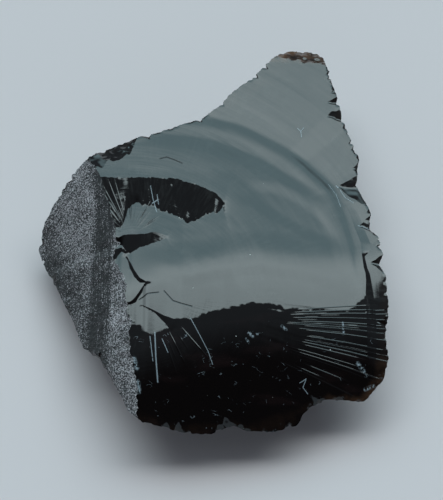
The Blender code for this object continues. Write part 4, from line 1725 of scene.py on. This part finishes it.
@dataclass(frozen=True)
class Studio:
    """One large soft panel behind and above the stone, a weak front fill, pale surroundings."""

    # Light of the panel's lower and upper part, where it rises from one to the other, and where
    # and how much its top is dimmed. Heights and sides are in degrees, the lower one first.
    low_colour: tuple = (1.65, 2.52, 2.76)
    high_colour: tuple = (4.15, 5.05, 5.22)
    rise: tuple = (51.0, 69.5)
    top_dim: tuple = (69.0, 75.0, 0.14)
    low_edge: tuple = (28.0, 48.0)
    high_edge: tuple = (75.0, 78.0)
    left_edge: tuple = (-42.0, -27.0)
    right_edge: tuple = (35.0, 47.0)
    # Weak light behind the stone and low in front: where it is 0, where it is full, how much.
    shoulder: tuple = (112.0, 84.0, 0.2)
    fill: tuple = (135.0, 150.0, 0.5)
    ambient: float = 0.02
    cool: tuple = (0.8, 1.0, 1.14)
    backdrop: tuple = (0.50, 0.57, 0.60, 1.0)

    def build(self) -> bpy.types.World:
        """Make the world light.

        Returns:
            The world.
        """
        world = bpy.data.worlds.new("studio")
        bpy.context.scene.world = world
        world.use_nodes = True
        graph = Graph(world.node_tree)
        facing = graph.node("ShaderNodeTexCoord", {}, {}).outputs["Generated"]
        parts = graph.node("ShaderNodeSeparateXYZ", {}, {0: facing})
        x, y, z = (graph.value(parts, place) for place in range(3))
        height = graph.math("ARCTAN2", z, y) * math.degrees(1.0)
        side = graph.math("ARCSINE", x) * math.degrees(1.0)
        shape = height.ramp(*self.low_edge) * height.ramp(*reversed(self.high_edge))
        shape = shape * side.ramp(*self.left_edge) * side.ramp(*reversed(self.right_edge))
        rise = height.ramp(*self.rise)
        low, high, share = self.top_dim
        shape = shape * (1.0 - share * height.ramp(low, high))
        low, high, amount = self.shoulder
        rest = self.ambient + amount * height.ramp(low, high)
        low, high, amount = self.fill
        rest = rest + amount * height.ramp(low, high)
        light = [shape * (dim + (bright - dim) * rise) + rest * tint
                 for dim, bright, tint in zip(self.low_colour, self.high_colour, self.cool)]
        colour = graph.node("ShaderNodeCombineColor", {}, dict(enumerate(light)))
        seen = graph.node("ShaderNodeLightPath", {}, {}).outputs["Is Camera Ray"]
        colour = graph.mix(seen, colour.outputs[0], self.backdrop)
        graph.fill(world.node_tree.nodes["Background"], {"Color": colour, "Strength": 1.0})
        return world


@dataclass(frozen=True)
class Camera:
    """The camera, above and in front of the stone, in degrees and metres; the lens in millimetres."""

    elevation: float = 64.0
    distance: float = 0.23
    target: tuple = (0.001446, -0.002198, 0.008)
    lens: float = 127.4
    sensor: float = 36.0
    nearest: float = 0.005

    def build(self) -> bpy.types.Object:
        """Make the camera and use it.

        Returns:
            The camera.
        """
        data = bpy.data.cameras.new("camera")
        data.lens = self.lens
        data.sensor_fit = "VERTICAL"
        data.sensor_width = self.sensor
        data.sensor_height = self.sensor
        data.clip_start = self.nearest
        camera = add_object("camera", data)
        angle = math.radians(self.elevation)
        back = Vector((0.0, -math.cos(angle), math.sin(angle)))
        camera.location = Vector(self.target) + back * self.distance
        camera.rotation_euler = (-back).to_track_quat("-Z", "Y").to_euler()
        bpy.context.scene.camera = camera
        return camera


def main() -> None:
    """Build the camera, the studio, the floor and the stone, and log each one's name."""
    logging.basicConfig(level=logging.INFO, format="%(name)s: %(message)s")
    bpy.context.scene.view_settings.view_transform = "Standard"
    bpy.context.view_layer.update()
    for part in (Camera(), Studio(), Floor(), Stone()):
        made = part.build()
        LOG.info("made %s", made.name)


if __name__ == "__main__":
    main()
